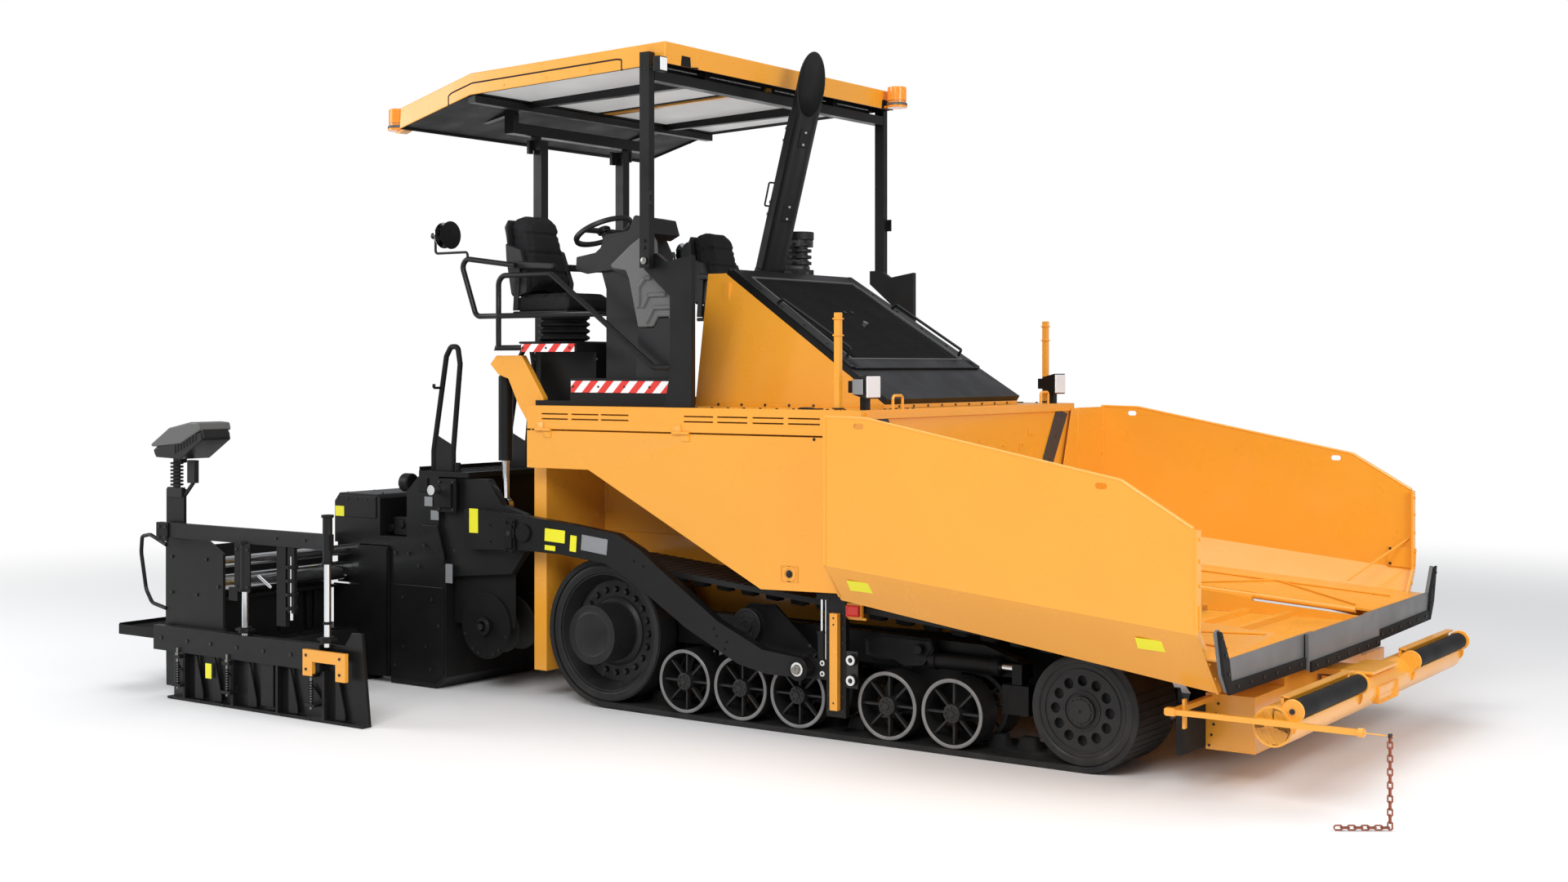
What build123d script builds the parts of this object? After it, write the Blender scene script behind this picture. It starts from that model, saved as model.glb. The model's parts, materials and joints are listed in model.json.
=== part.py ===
# Asphalt paver on rubber tracks with a towed, extending screed.
# Millimetres, X forward, Y to the left, Z up, ground at Z = 0, origin under the middle of the machine.
import os
from math import atan2, cos, degrees, radians, sin, sqrt
from build123d import *

os.makedirs("parts", exist_ok=True)

# Fits
seat_gap = 0.3
pin_gap = 0.05

# Undercarriage
track_centre_y = 925
belt_width = 457
belt_thickness = 30
drive_x = -860
drive_z = 450
drive_radius = 410
idler_x = 2256
idler_radius = 280
road_wheel_radius = 185
road_wheel_xs = [-270, 129, 523, 1105, 1504]
lug_count = 48
lug_length = 110
lug_width = 90
lug_height = 70

# Hull
hull_half = 600
hull_wall = 20
hull_rear = -1350
hull_bottom = 330
bed_top = 630
tunnel_half = 520
tunnel_top = 1000
wall_x = 1000
wall_thick = 24
deck_half = 1275
deck_rear = -1375
deck_top = 1800
deck_thick = 25
panel_thick = 25
seam_z = 1655
rear_plate_half = 1150
rear_plate_bottom = 178
bed_front = 3100

# Hopper
wing_rear = 1041
wing_front = 3073
wing_half = 1660
wing_sheet = 12
hinge_y = 620
hinge_rear_z = 825
hinge_front_z = 685
bend_rear_z = 1010
bend_front_z = 815
floor_front = 3165

# Screed
tow_x = 617
tow_z = 385
arm_inner = 1215
arm_thick = 60
screed_half = 1240
screed_travel = 1080
extension_inner = 1110
extension_outer = 2350
gate_thick = 20


def side_plane(y):
    """Upright plane along the machine at width y: local x forward, local y up."""
    return Plane.XZ.offset(-y)


def slab(points, low, high, mode=Mode.ADD):
    """Plate with a side-view outline, from width low to width high."""
    with BuildSketch(side_plane((low + high) / 2)) as outline:
        with BuildLine():
            Polyline(*points, close=True)
        make_face()
    extrude(outline.sketch, amount=abs(high - low) / 2, both=True, mode=mode)


def section(points, low, high, mode=Mode.ADD):
    """Bar with a cross-machine outline, from station low to station high."""
    with BuildSketch(Plane.YZ.offset(low)) as outline:
        with BuildLine():
            Polyline(*points, close=True)
        make_face()
    extrude(outline.sketch, amount=high - low, mode=mode)


def block(x, y, z, mode=Mode.ADD):
    """Box from its ranges along the three axes."""
    with Locations((sum(x) / 2, sum(y) / 2, sum(z) / 2)):
        Box(x[1] - x[0], y[1] - y[0], z[1] - z[0], mode=mode)


def cross_rod(x, z, low, high, radius, mode=Mode.ADD):
    """Round bar across the machine from width low to width high."""
    with BuildSketch(side_plane((low + high) / 2)) as outline:
        with Locations((x, z)):
            Circle(radius)
    extrude(outline.sketch, amount=abs(high - low) / 2, both=True, mode=mode)


def post(x, y, low, high, radius, mode=Mode.ADD):
    """Upright round bar from height low to height high."""
    with Locations((x, y, (low + high) / 2)):
        Cylinder(radius, high - low, mode=mode)


def long_rod(y, z, low, high, radius, mode=Mode.ADD):
    """Round bar along the machine from station low to station high."""
    with Locations(Location(((low + high) / 2, y, z), (0, 90, 0))):
        Cylinder(radius, high - low, mode=mode)


def rail(points, bend, radius):
    """Bent tube through points, as a solid bar."""
    with BuildLine() as path:
        if len(points) > 2:
            FilletPolyline(*points, radius=bend)
        else:
            Polyline(*points)
    with BuildSketch(Plane(path.line @ 0, z_dir=path.line % 0)) as ring:
        Circle(radius)
    sweep(ring.sketch, path=path.line)


def save(piece, label):
    piece.part.label = label
    export_step(piece.part, f"parts/{label}.step")


def save_pair(piece, label):
    """Write the right-hand piece and its mirror image on the left."""
    save(piece, f"{label}_right")
    with BuildPart() as twin:
        mirror(piece.part, about=Plane.XZ)
    save(twin, f"{label}_left")


def save_both(piece, label):
    """Write one node that holds the right-hand piece and its mirror image."""
    with BuildPart() as both:
        add(piece.part)
        mirror(piece.part, about=Plane.XZ)
    save(both, label)


# Tracks: one belt loop round drive wheel, road wheels and idler, with its drive lugs inside
idler_z = idler_radius + belt_thickness
road_wheel_z = road_wheel_radius + belt_thickness
loop_circles = [
    (drive_x, drive_z, drive_radius),
    (road_wheel_xs[0], road_wheel_z, road_wheel_radius),
    (idler_x, idler_z, idler_radius),
]


def loop_face(grow):
    for x, z, radius in loop_circles:
        with Locations((x, z)):
            Circle(radius + grow)
    make_hull()


with BuildPart() as lug:
    with BuildSketch():
        Rectangle(lug_length, lug_width)
    extrude(amount=lug_height, taper=12)

with BuildPart() as track:
    with BuildSketch(side_plane(-track_centre_y)):
        loop_face(belt_thickness)
    extrude(amount=belt_width / 2, both=True)
    with BuildSketch(side_plane(-track_centre_y)) as inner_loop:
        loop_face(seat_gap)
    extrude(amount=belt_width / 2, both=True, mode=Mode.SUBTRACT)
    inner_path = inner_loop.sketch.faces()[0].outer_wire()
    loop_middle = Vector((drive_x + idler_x) / 2, -track_centre_y, drive_z)
    lug_spots = []
    for step in range(lug_count):
        spot = inner_path @ (step / lug_count)
        along = inner_path % (step / lug_count)
        inward = Vector(0, 1, 0).cross(along)
        if inward.dot(loop_middle - spot) < 0:
            inward = inward * -1
        lug_spots.append(Plane(spot - inward * 3, x_dir=along, z_dir=inward).location)
    with Locations(*lug_spots):
        add(lug.part)
save_pair(track, "track")

# Wheels inside the belts: each is a pair of discs with the lug groove between them
groove_half = lug_width / 2 + 15
wheel_half = belt_width / 2 - 12
outer_face = -track_centre_y - wheel_half
inner_face = -track_centre_y + wheel_half
groove_low = -track_centre_y - groove_half
groove_high = -track_centre_y + groove_half
core_cut = lug_height + 20
disc_depth = 60
with BuildPart() as drive_wheel:
    cross_rod(drive_x, drive_z, outer_face, groove_low, drive_radius)
    cross_rod(drive_x, drive_z, outer_face, groove_low - disc_depth, drive_radius - 55, mode=Mode.SUBTRACT)
    cross_rod(drive_x, drive_z, groove_high, inner_face, drive_radius)
    cross_rod(drive_x, drive_z, groove_low, groove_high, drive_radius - core_cut)
    cross_rod(drive_x, drive_z, -deck_half, groove_low, 175)
    with BuildSketch(side_plane(groove_low - disc_depth)):
        with Locations((drive_x, drive_z)):
            with PolarLocations(250, 20):
                Circle(18)
    extrude(amount=-30, mode=Mode.SUBTRACT)
save_both(drive_wheel, "drive_wheels")

with BuildPart() as idler_wheel:
    cross_rod(idler_x, idler_z, outer_face, groove_low, idler_radius)
    cross_rod(idler_x, idler_z, groove_high, inner_face, idler_radius)
    cross_rod(idler_x, idler_z, groove_low, groove_high, idler_radius - core_cut)
    cross_rod(idler_x, idler_z, outer_face - 25, outer_face, 75)
    with BuildSketch(side_plane(outer_face)):
        with Locations((idler_x, idler_z)):
            with PolarLocations(150, 12):
                Circle(26)
    extrude(amount=-40, mode=Mode.SUBTRACT)
save_both(idler_wheel, "idler_wheels")

rim_thick = 22
road_hub_radius = 50
with BuildPart() as road_wheel:
    for low, high in [(outer_face, groove_low), (groove_high, inner_face)]:
        cross_rod(0, road_wheel_z, low, high, road_wheel_radius)
        cross_rod(0, road_wheel_z, low, high, road_wheel_radius - rim_thick, mode=Mode.SUBTRACT)
        with BuildSketch(side_plane(low + 35)):
            with Locations((0, road_wheel_z)):
                with PolarLocations(road_wheel_radius / 2, 8):
                    Rectangle(road_wheel_radius - 10, 12)
        extrude(amount=14, both=True)
    cross_rod(0, road_wheel_z, outer_face, inner_face, road_hub_radius)
with BuildPart() as road_wheels:
    with Locations(*[(x, 0, 0) for x in road_wheel_xs]):
        add(road_wheel.part)
save_both(road_wheels, "road_wheels")

# Track frames: a side plate next to the hull, a beam in the lug groove, and the bogie arms
plate_low, plate_high = -690, -650
beam_low, beam_high = -track_centre_y - 35, -track_centre_y + 35
beam_bottom = road_wheel_z + road_wheel_radius + 5
with BuildPart() as track_frame:
    slab([(drive_x + 60, 330), (1560, 330), (idler_x - 76, 250), (idler_x + 74, 250), (idler_x + 74, 370),
          (idler_x - 76, 400), (1700, 560), (drive_x + 60, 560)], plate_low, plate_high)
    slab([(-480, beam_bottom), (1850, beam_bottom), (1850, 480), (1600, 560), (-300, 600), (-480, 560)],
         beam_low, beam_high)
    for low, high in [(-400, -100), (300, 600), (1300, 1600)]:
        block((low, high), (plate_high, -hull_half), (beam_bottom, 540))
        block((low, high), (beam_high, plate_low), (beam_bottom, 540))
    for rear, front in [(road_wheel_xs[0], road_wheel_xs[2]), (road_wheel_xs[3], road_wheel_xs[4])]:
        middle = (rear + front) / 2
        slab([(rear - 70, 150), (front + 70, 150), (front + 70, 280), (middle + 150, beam_bottom),
              (middle - 150, beam_bottom), (rear - 70, 280)], beam_low, beam_high)
    for x in road_wheel_xs:
        cross_rod(x, road_wheel_z, beam_low, beam_high, road_hub_radius + seat_gap, mode=Mode.SUBTRACT)
    cross_rod(idler_x, idler_z, inner_face + seat_gap, plate_low, 60)
    cross_rod(drive_x, drive_z, inner_face + seat_gap, -hull_half, 160)
save_both(track_frame, "track_frames")

# Chassis: hull with the conveyor tunnel, hopper bed with trough sides, rear plates, front cross beam
bay_floor = tunnel_top + hull_wall
deck_bottom = deck_top - deck_thick
beam_rear, beam_front = 2850, bed_front
cross_beam_half = 1000
pivot_x = 3180
hinge_axis = Vector(wing_front - wing_rear, 0, hinge_front_z - hinge_rear_z).normalized()
knuckle_outer = 16
chassis_knuckles = [(1420, 1750), (2150, 2480)]
wing_knuckles = [(1046, 1419.5), (1750.5, 2149.5), (2480.5, 3060)]


def hinge_height(x):
    return hinge_rear_z + (x - wing_rear) * (hinge_front_z - hinge_rear_z) / (wing_front - wing_rear)


with BuildPart() as chassis:
    block((hull_rear, wall_x), (-hull_half, hull_half), (hull_bottom, tunnel_top))
    block((hull_rear, wall_x), (-tunnel_half, tunnel_half), (bed_top, tunnel_top), mode=Mode.SUBTRACT)
    block((hull_rear + hull_wall, wall_x - hull_wall), (-hull_half + hull_wall, hull_half - hull_wall),
          (hull_bottom + hull_wall, bed_top - hull_wall), mode=Mode.SUBTRACT)
save(chassis, "chassis")

with BuildPart() as engine_bay:
    block((hull_rear, wall_x), (-hull_half, hull_half), (tunnel_top, deck_bottom))
    block((hull_rear + hull_wall, wall_x - hull_wall), (-hull_half + hull_wall, hull_half - hull_wall),
          (bay_floor, deck_bottom - hull_wall), mode=Mode.SUBTRACT)
    for side in (-1, 1):
        low, high = sorted((side * hull_half, side * rear_plate_half))
        block((hull_rear, hull_rear + hull_wall), (low, high), (rear_plate_bottom, deck_bottom))
        low, high = sorted((side * (rear_plate_half - 20), side * rear_plate_half))
        block((hull_rear - 80, hull_rear), (low, high), (rear_plate_bottom, deck_bottom))
save(engine_bay, "engine_bay")

with BuildPart() as hopper_bed:
    block((wall_x, bed_front), (-hull_half, hull_half), (400, bed_top))
    block((wall_x + hull_wall, bed_front - hull_wall), (-hull_half + hull_wall, hull_half - hull_wall),
          (400 + hull_wall, bed_top - hull_wall), mode=Mode.SUBTRACT)
    for side in (-1, 1):
        low, high = sorted((side * (hull_half - hull_wall), side * hull_half))
        slab([(wall_x, bed_top), (bed_front, bed_top), (bed_front, hinge_front_z - 25),
              (wall_x, hinge_rear_z - 25)], low, high)
        for start, end in chassis_knuckles:
            high_end, low_end = (start + 4, hinge_height(start + 4)), (end - 4, hinge_height(end - 4))
            low, high = sorted((side * (hull_half - hull_wall), side * (hinge_y - 6)))
            slab([high_end, low_end, (end - 4, low_end[1] - 30), (start + 4, high_end[1] - 30)], low, high)
            knuckle_plane = Plane((start, side * hinge_y, hinge_height(start)), x_dir=(0, 1, 0), z_dir=hinge_axis)
            with BuildSketch(knuckle_plane) as knuckle:
                Circle(knuckle_outer)
            extrude(knuckle.sketch, amount=(end - start) / hinge_axis.X)
    block((beam_rear, beam_front), (-cross_beam_half, cross_beam_half), (165, 440))
    block((beam_front, pivot_x + 50), (-120, 120), (295, 325))
    block((beam_front, pivot_x + 50), (-120, 120), (440, 470))
    post(pivot_x, 0, 295, 470, 30)
save(hopper_bed, "hopper_bed")

with BuildPart() as engine:
    block((-500, 500), (-350, 350), (bay_floor, 1650))
save(engine, "engine")

slat_pitch = 250
with BuildPart() as conveyor:
    block((hull_rear, bed_front - 40), (-tunnel_half + 5, tunnel_half - 5), (bed_top, bed_top + 12))
    slat_count = int((bed_front - 40 - hull_rear) / slat_pitch)
    for step in range(slat_count):
        x = hull_rear + 60 + step * slat_pitch
        block((x, x + 40), (-tunnel_half + 30, tunnel_half - 30), (bed_top + 12, bed_top + 40))
save(conveyor, "conveyor")

# Deck: plate, vented side skirts above the seam, and the hopper rear wall
hinge_line_y = deck_half + 9
knuckle_radius = 9
hinge_xs = [-1300, -250, 880]
knuckle_length = 60
leaf = 6
with BuildPart() as deck:
    block((deck_rear, wall_x), (-deck_half, deck_half), (deck_bottom, deck_top))
    for side in (-1, 1):
        low, high = sorted((side * (deck_half - panel_thick), side * deck_half))
        block((deck_rear, wall_x), (low, high), (seam_z + 5, deck_bottom))
        low, high = sorted((side * deck_half, side * (deck_half + leaf)))
        for x in hinge_xs:
            block((x, x + knuckle_length), (low, high), (seam_z, seam_z + 45))
            with Locations(Location((x + knuckle_length / 2, side * hinge_line_y, seam_z), (0, 90, 0))):
                Cylinder(knuckle_radius, knuckle_length)
    slot_rows = [(seam_z + 62, seam_z + 70), (seam_z + 92, seam_z + 100)]
    for low, high in slot_rows:
        for x in [-1257, -1020, -790, -173, 65, 310, 550]:
            block((x, x + 210), (-deck_half, deck_half), (low, high), mode=Mode.SUBTRACT)
    section([(-deck_half, 850), (-tunnel_half, 850), (-tunnel_half, tunnel_top), (tunnel_half, tunnel_top),
             (tunnel_half, 850), (deck_half, 850), (deck_half, deck_top), (-deck_half, deck_top)],
            wall_x, wall_x + wall_thick)
    for side in (-1, 1):
        low, high = sorted((side * rear_plate_half, side * (deck_half - panel_thick - 5)))
        block((deck_rear, deck_rear + 20), (low, high), (1430, deck_bottom))
save(deck, "deck")

loop_x = wall_x + wall_thick / 2
loop_middle_y, loop_half, loop_height, loop_wire = 880, 50, 75, 8
with BuildPart() as lifting_loop:
    rail([(loop_x, -loop_middle_y - loop_half, deck_top), (loop_x, -loop_middle_y - loop_half, deck_top + loop_height),
          (loop_x, -loop_middle_y + loop_half, deck_top + loop_height), (loop_x, -loop_middle_y + loop_half, deck_top)],
         20, loop_wire)
save_both(lifting_loop, "lifting_loops")

# Side doors, hinged on the seam
door_outline = [(deck_rear, seam_z - 5), (deck_rear, 1425), (-887, 1425), (367, 804), (wall_x, 818),
                (wall_x, seam_z - 5)]
with BuildPart() as side_door:
    slab(door_outline, -deck_half, -deck_half + panel_thick)
    for x in hinge_xs:
        low = x + knuckle_length + 1
        block((low, low + knuckle_length), (-deck_half - leaf, -deck_half), (seam_z - 45, seam_z))
        long_rod(-hinge_line_y, seam_z, low, low + knuckle_length, knuckle_radius)
save_pair(side_door, "side_door")

# Hood: yellow shell with leaning sides, and the sloping grille lid over its open front
hood_rear, hood_front = -463, 869
hood_top, hood_break = 2595, -330
hood_base_half, hood_top_half = 790, 662
hood_sheet = 20
slope_foot = 1822
hood_section = [(-hood_base_half, deck_top), (hood_base_half, deck_top), (hood_top_half, hood_top),
                (-hood_top_half, hood_top)]
slope_above = [(hood_break, hood_top), (hood_front, slope_foot), (hood_front, hood_top + 10),
               (hood_break, hood_top + 10)]
lid_hinge_x, lid_hinge_z = -325, 2600
lid_knuckle = 10
with BuildPart() as hood:
    section(hood_section, hood_rear, hood_front)
    section([(-hood_base_half + hood_sheet, deck_top + hood_sheet), (hood_base_half - hood_sheet, deck_top + hood_sheet),
             (hood_top_half - hood_sheet, hood_top - hood_sheet), (-hood_top_half + hood_sheet, hood_top - hood_sheet)],
            hood_rear + hood_sheet, hood_front - hood_sheet, mode=Mode.SUBTRACT)
    slab(slope_above, -900, 900, mode=Mode.SUBTRACT)
    for side in (-1, 1):
        low, high = sorted((side * 439, side * 561))
        cross_rod(lid_hinge_x, lid_hinge_z, low, high, lid_knuckle + 2, mode=Mode.SUBTRACT)
        low, high = sorted((side * 330, side * 439))
        cross_rod(lid_hinge_x, lid_hinge_z, low, high, lid_knuckle)
save(hood, "hood")

slope_angle = atan2(hood_top - slope_foot, hood_front - hood_break)
slope_length = sqrt((hood_front - hood_break) ** 2 + (hood_top - slope_foot) ** 2)
slope_plane = Plane((hood_break, 0, hood_top), x_dir=(0, -1, 0), z_dir=(sin(slope_angle), 0, cos(slope_angle)))
lid_thick = 35
with BuildPart() as hood_lid:
    with BuildSketch(slope_plane) as lid_outline:
        with BuildLine():
            Polyline((-hood_top_half, 8), (hood_top_half, 8), (hood_base_half - 5, slope_length),
                     (-hood_base_half + 5, slope_length), close=True)
        make_face()
    extrude(lid_outline.sketch, amount=lid_thick)
    for side in (-1, 1):
        low, high = sorted((side * 328, side * 440))
        cross_rod(lid_hinge_x, lid_hinge_z, low, high, lid_knuckle + 2, mode=Mode.SUBTRACT)
        low, high = sorted((side * 440, side * 560))
        cross_rod(lid_hinge_x, lid_hinge_z, low, high, lid_knuckle)
save(hood_lid, "hood_lid")

# Exhaust stack, leaning forward, with its oblique mouth, and the ribbed air intake beside it
stack_x, stack_y = -440, -60
stack_radius = 88
stack_lean = 15.2
stack_length = 1420
with BuildPart() as exhaust_stack:
    stack_base = Plane((stack_x, stack_y, hood_top), z_dir=(sin(radians(stack_lean)), 0, cos(radians(stack_lean))),
                       x_dir=(cos(radians(stack_lean)), 0, -sin(radians(stack_lean))))
    with BuildSketch(stack_base.offset(-60)) as ring:
        Circle(stack_radius)
        Circle(stack_radius - 6, mode=Mode.SUBTRACT)
    extrude(ring.sketch, amount=stack_length + 60)
    slab([(-700, hood_top - 200), (300, hood_top - 200), (300, hood_top), (-700, hood_top)], -300, 300, mode=Mode.SUBTRACT)
    slab([(-96, 3960), (160, 3500), (400, 3500), (400, 4100), (-96, 4100)], -300, 300, mode=Mode.SUBTRACT)
save(exhaust_stack, "exhaust_stack")

intake_y = 215
with BuildPart() as air_intake:
    block((-455, -340), (intake_y - 85, intake_y + 85), (hood_top, hood_top + 60))
    post(-398, intake_y, hood_top + 60, hood_top + 250, 56)
    for step in range(4):
        post(-398, intake_y, hood_top + 90 + step * 40, hood_top + 110 + step * 40, 80)
    post(-398, intake_y, hood_top + 250, hood_top + 300, 95)
save(air_intake, "air_intake")

# Hopper wings: upright side, sloping lower plate, floor out to the hinge, and the rear plate
floor_rear_z = 840
floor_front_z = 700
floor_fall = (floor_rear_z - floor_front_z) / (wing_front - wing_rear)


def floor_height(x):
    return floor_rear_z - floor_fall * (x - wing_rear)


def bend_height(x):
    return bend_rear_z - (bend_rear_z - bend_front_z) / (wing_front - wing_rear) * (x - wing_rear)


skirt_in_rear, skirt_drop_rear = 166, 196
skirt_in_front, skirt_drop_front = 255, 301


def wing_loop(x, sheet, skirt_in, skirt_drop):
    """Section of the wing's outer skin: upright side, then the sloping plate."""
    bend = bend_height(x)
    return [(-wing_half, 1790), (-wing_half, bend), (-wing_half + skirt_in, bend - skirt_drop),
            (-wing_half + skirt_in + sheet * 1.3, bend - skirt_drop), (-wing_half + sheet, bend + sheet * 0.4),
            (-wing_half + sheet, 1790)]


def floor_loop(x):
    """Section of the wing's floor sheet, from inside the sloping plate to the hinge."""
    top = floor_height(x)
    bend = bend_height(x)
    reach = (bend - top) * skirt_in_front / skirt_drop_front
    return [(-wing_half + reach + 4, top), (-hinge_y - 5, top), (-hinge_y - 5, top - wing_sheet),
            (-wing_half + reach + 14, top - wing_sheet)]


wing_slot_spots = [(1255, 1730), (2603, 1476)]
wing_slot_length, wing_slot_width = 62, 30
top_cut = [(wing_rear, 1775), (1297, 1770), (2706, 1505), (3064, 1297), (wing_front, 1290), (3400, 1290),
           (3400, 2000), (wing_rear - 50, 2000), (wing_rear - 50, 1775)]
with BuildPart() as hopper_wing:
    for x_low, x_high in [(wing_rear, wing_front)]:
        with BuildSketch(Plane.YZ.offset(x_low)) as rear_section:
            with BuildLine():
                Polyline(*wing_loop(x_low, wing_sheet, skirt_in_rear, skirt_drop_rear), close=True)
            make_face()
        with BuildSketch(Plane.YZ.offset(x_high)) as front_section:
            with BuildLine():
                Polyline(*wing_loop(x_high, wing_sheet, skirt_in_front, skirt_drop_front), close=True)
            make_face()
        loft([rear_section.sketch, front_section.sketch], ruled=True)
    slab(top_cut, -wing_half - 50, -wing_half + 50, mode=Mode.SUBTRACT)
    with BuildSketch(Plane.YZ.offset(wing_rear)) as rear_floor:
        with BuildLine():
            Polyline(*floor_loop(wing_rear), close=True)
        make_face()
    with BuildSketch(Plane.YZ.offset(floor_front)) as front_floor:
        with BuildLine():
            Polyline(*floor_loop(floor_front), close=True)
        make_face()
    loft([rear_floor.sketch, front_floor.sketch], ruled=True)
    section([(-deck_half - 5, 1770), (-wing_half, 1770), (-wing_half, bend_rear_z),
             (-wing_half + 140, floor_rear_z - 6), (-hinge_y - 60, floor_rear_z - 6), (-hinge_y - 60, floor_rear_z + 40),
             (-deck_half + 60, 1100), (-deck_half - 5, 1400)], wing_rear, wing_rear + wing_sheet)
    for start, end in chassis_knuckles:
        block((start - 6, end + 6), (-hinge_y - 30, -hinge_y + 30), (hinge_front_z - 40, hinge_rear_z + 40),
              mode=Mode.SUBTRACT)
    with BuildSketch(side_plane(-wing_half + wing_sheet / 2)) as wing_slots:
        with Locations(*wing_slot_spots):
            SlotOverall(wing_slot_length, wing_slot_width)
    extrude(wing_slots.sketch, amount=wing_sheet, both=True, mode=Mode.SUBTRACT)
    for start, end in wing_knuckles:
        barrel_plane = Plane((start, -hinge_y, hinge_height(start)), x_dir=(0, 1, 0), z_dir=hinge_axis)
        with BuildSketch(barrel_plane) as barrel:
            Circle(knuckle_outer)
        extrude(barrel.sketch, amount=(end - start) / hinge_axis.X)
save_pair(hopper_wing, "hopper_wing")

# Aprons along the hopper's front lip
apron_thick = 20
with BuildPart() as apron:
    section([(-420, 700), (-1563, 700), (-1655, 850), (-1690, 840), (-1630, 640), (-1560, 550), (-420, 535)],
            floor_front, floor_front + apron_thick)
save_pair(apron, "apron")
with BuildPart() as front_apron:
    section([(-560, 705), (560, 705), (560, 520), (-560, 520)], floor_front + apron_thick + 6,
            floor_front + 2 * apron_thick + 6)
    block((bed_front, floor_front + apron_thick + 6), (-360, 360), (600, 625))
save(front_apron, "front_apron")

# Push beam on its upright pivot, with two free rollers
tube_x, tube_z, tube_radius = 3330, 385, 95
push_half = 1385
roller_x, roller_z, roller_radius = 3420, 462, 46
roller_low, roller_high = -1337, -437
with BuildPart() as push_beam:
    cross_rod(tube_x, tube_z, -push_half, push_half, tube_radius)
    block((pivot_x - 60, tube_x), (-110, 110), (335, 430))
    post(pivot_x, 0, 330, 435, 30 + pin_gap, mode=Mode.SUBTRACT)
    for y in (roller_low - 25, roller_high + 5, -roller_high - 25, -roller_low + 5):
        slab([(tube_x - 40, tube_z), (tube_x + 60, tube_z - 40), (roller_x + 40, roller_z - 20),
              (roller_x + 20, roller_z + 40), (roller_x - 40, roller_z + 40)], y, y + 20)
    for low, high in [(roller_low - 5, roller_high + 5), (-roller_high - 5, -roller_low + 5)]:
        cross_rod(roller_x, roller_z, low, high, 15)
        cross_rod(roller_x, roller_z, low + 3, high - 3, roller_radius + 8, mode=Mode.SUBTRACT)
        cross_rod(roller_x, roller_z, low, high, 15)
save(push_beam, "push_beam")
with BuildPart() as push_roller:
    cross_rod(roller_x, roller_z, roller_low, roller_high, roller_radius)
    cross_rod(roller_x, roller_z, roller_low, roller_high, 15 + pin_gap, mode=Mode.SUBTRACT)
save_both(push_roller, "push_rollers")

# Steering guide on the right, its chain, and a mud flap on each side
guide_z = 415
guide_y = -1445
guide_end = 3775
ring_x = 3885
machine_front = 3900
with BuildPart() as steering_guide:
    block((beam_rear + 5, beam_rear + 35), (guide_y, -cross_beam_half), (guide_z - 13, guide_z + 13))
    block((beam_rear - 20, guide_end), (guide_y - 13, guide_y + 13), (guide_z - 13, guide_z + 13))
    long_rod(guide_y, guide_z, guide_end, machine_front, 3)
save(steering_guide, "steering_guide")

# Chain: links hung from the rod to the ground, then lying beside the machine, each at right angles to the last
link_long, link_wide, link_wire = 42, 26, 6
link_play = 0.6
link_corner = 8
link_inner_corner = 3
link_step = link_long - 2 * link_wire - link_play
hang_count = 14
lie_count = 8
lie_start = link_wide / 2 - 2 * link_wire - link_play
first_link_z = guide_z + 3 + link_play - link_long / 2 + link_wire
lie_heading = (cos(radians(34.8)), sin(radians(34.8)), 0)
lie_across = (-lie_heading[1], lie_heading[0], 0)
crosswise_plane = Plane((0, 0, 0), x_dir=lie_across, z_dir=lie_heading)
lengthwise_plane = Plane((0, 0, 0), x_dir=lie_heading, z_dir=(-lie_across[0], -lie_across[1], 0))
flat_plane = Plane((0, 0, 0), x_dir=lie_heading, z_dir=(0, 0, 1))


def link_outline(along, across, corner):
    """Outline of a link with its four corners cut off."""
    long_half, wide_half = along / 2, across / 2
    return [(long_half - corner, wide_half), (long_half, wide_half - corner), (long_half, corner - wide_half),
            (long_half - corner, -wide_half), (corner - long_half, -wide_half), (-long_half, corner - wide_half),
            (-long_half, wide_half - corner), (corner - long_half, wide_half)]


def chain_link(plane, along, across):
    with BuildPart() as link:
        with BuildSketch(plane) as ring:
            with BuildLine():
                Polyline(*link_outline(along, across, link_corner), close=True)
            make_face()
            with BuildLine():
                Polyline(*link_outline(along - 2 * link_wire, across - 2 * link_wire, link_inner_corner), close=True)
            make_face(mode=Mode.SUBTRACT)
        extrude(ring.sketch, amount=link_wire / 2, both=True)
    return link.part


hanging = [chain_link(crosswise_plane, link_wide, link_long), chain_link(lengthwise_plane, link_wide, link_long)]
lying = [chain_link(flat_plane, link_long, link_wide), chain_link(lengthwise_plane, link_long, link_wide)]
with BuildPart() as guide_chain:
    for step in range(hang_count):
        with Locations((ring_x, guide_y, first_link_z - step * link_step)):
            add(hanging[step % 2])
    for step in range(lie_count):
        reach = link_long / 2 + lie_start + step * link_step
        with Locations((ring_x - reach * lie_heading[0], guide_y - reach * lie_heading[1], link_wide / 2 + 0.2)):
            add(lying[step % 2])
save(guide_chain, "guide_chain")

with BuildPart() as mud_flap:
    block((beam_rear - 30, beam_rear), (-1290, -1000), (178, 385))
save_both(mud_flap, "mud_flaps")

# Platform: floor, seat pedestals and toe boards, seats, console, dash covers
floor_top = deck_top + 30
pedestal_top = 2125
seat_y = 930
seat_x = -1390
with BuildPart() as platform:
    block((deck_rear, -480), (-1200, 1200), (deck_top, floor_top))
    block((-2080, deck_rear), (-440, 440), (deck_top, floor_top))
    for side in (-1, 1):
        low, high = sorted((side * 700, side * 1060))
        block((-1461, -1011), (low, high), (floor_top, pedestal_top))
        low, high = sorted((side * 690, side * 1240))
        block((-1461, -1011), (low, high), (pedestal_top, pedestal_top + 51))
        low, high = sorted((side * 1180, side * 1200))
        block((-1094, -289), (low, high), (deck_top, 1966))
        block((-2075, -2003), tuple(sorted((side * 402, side * 440))), (floor_top, 2365))
save(platform, "platform")

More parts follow.
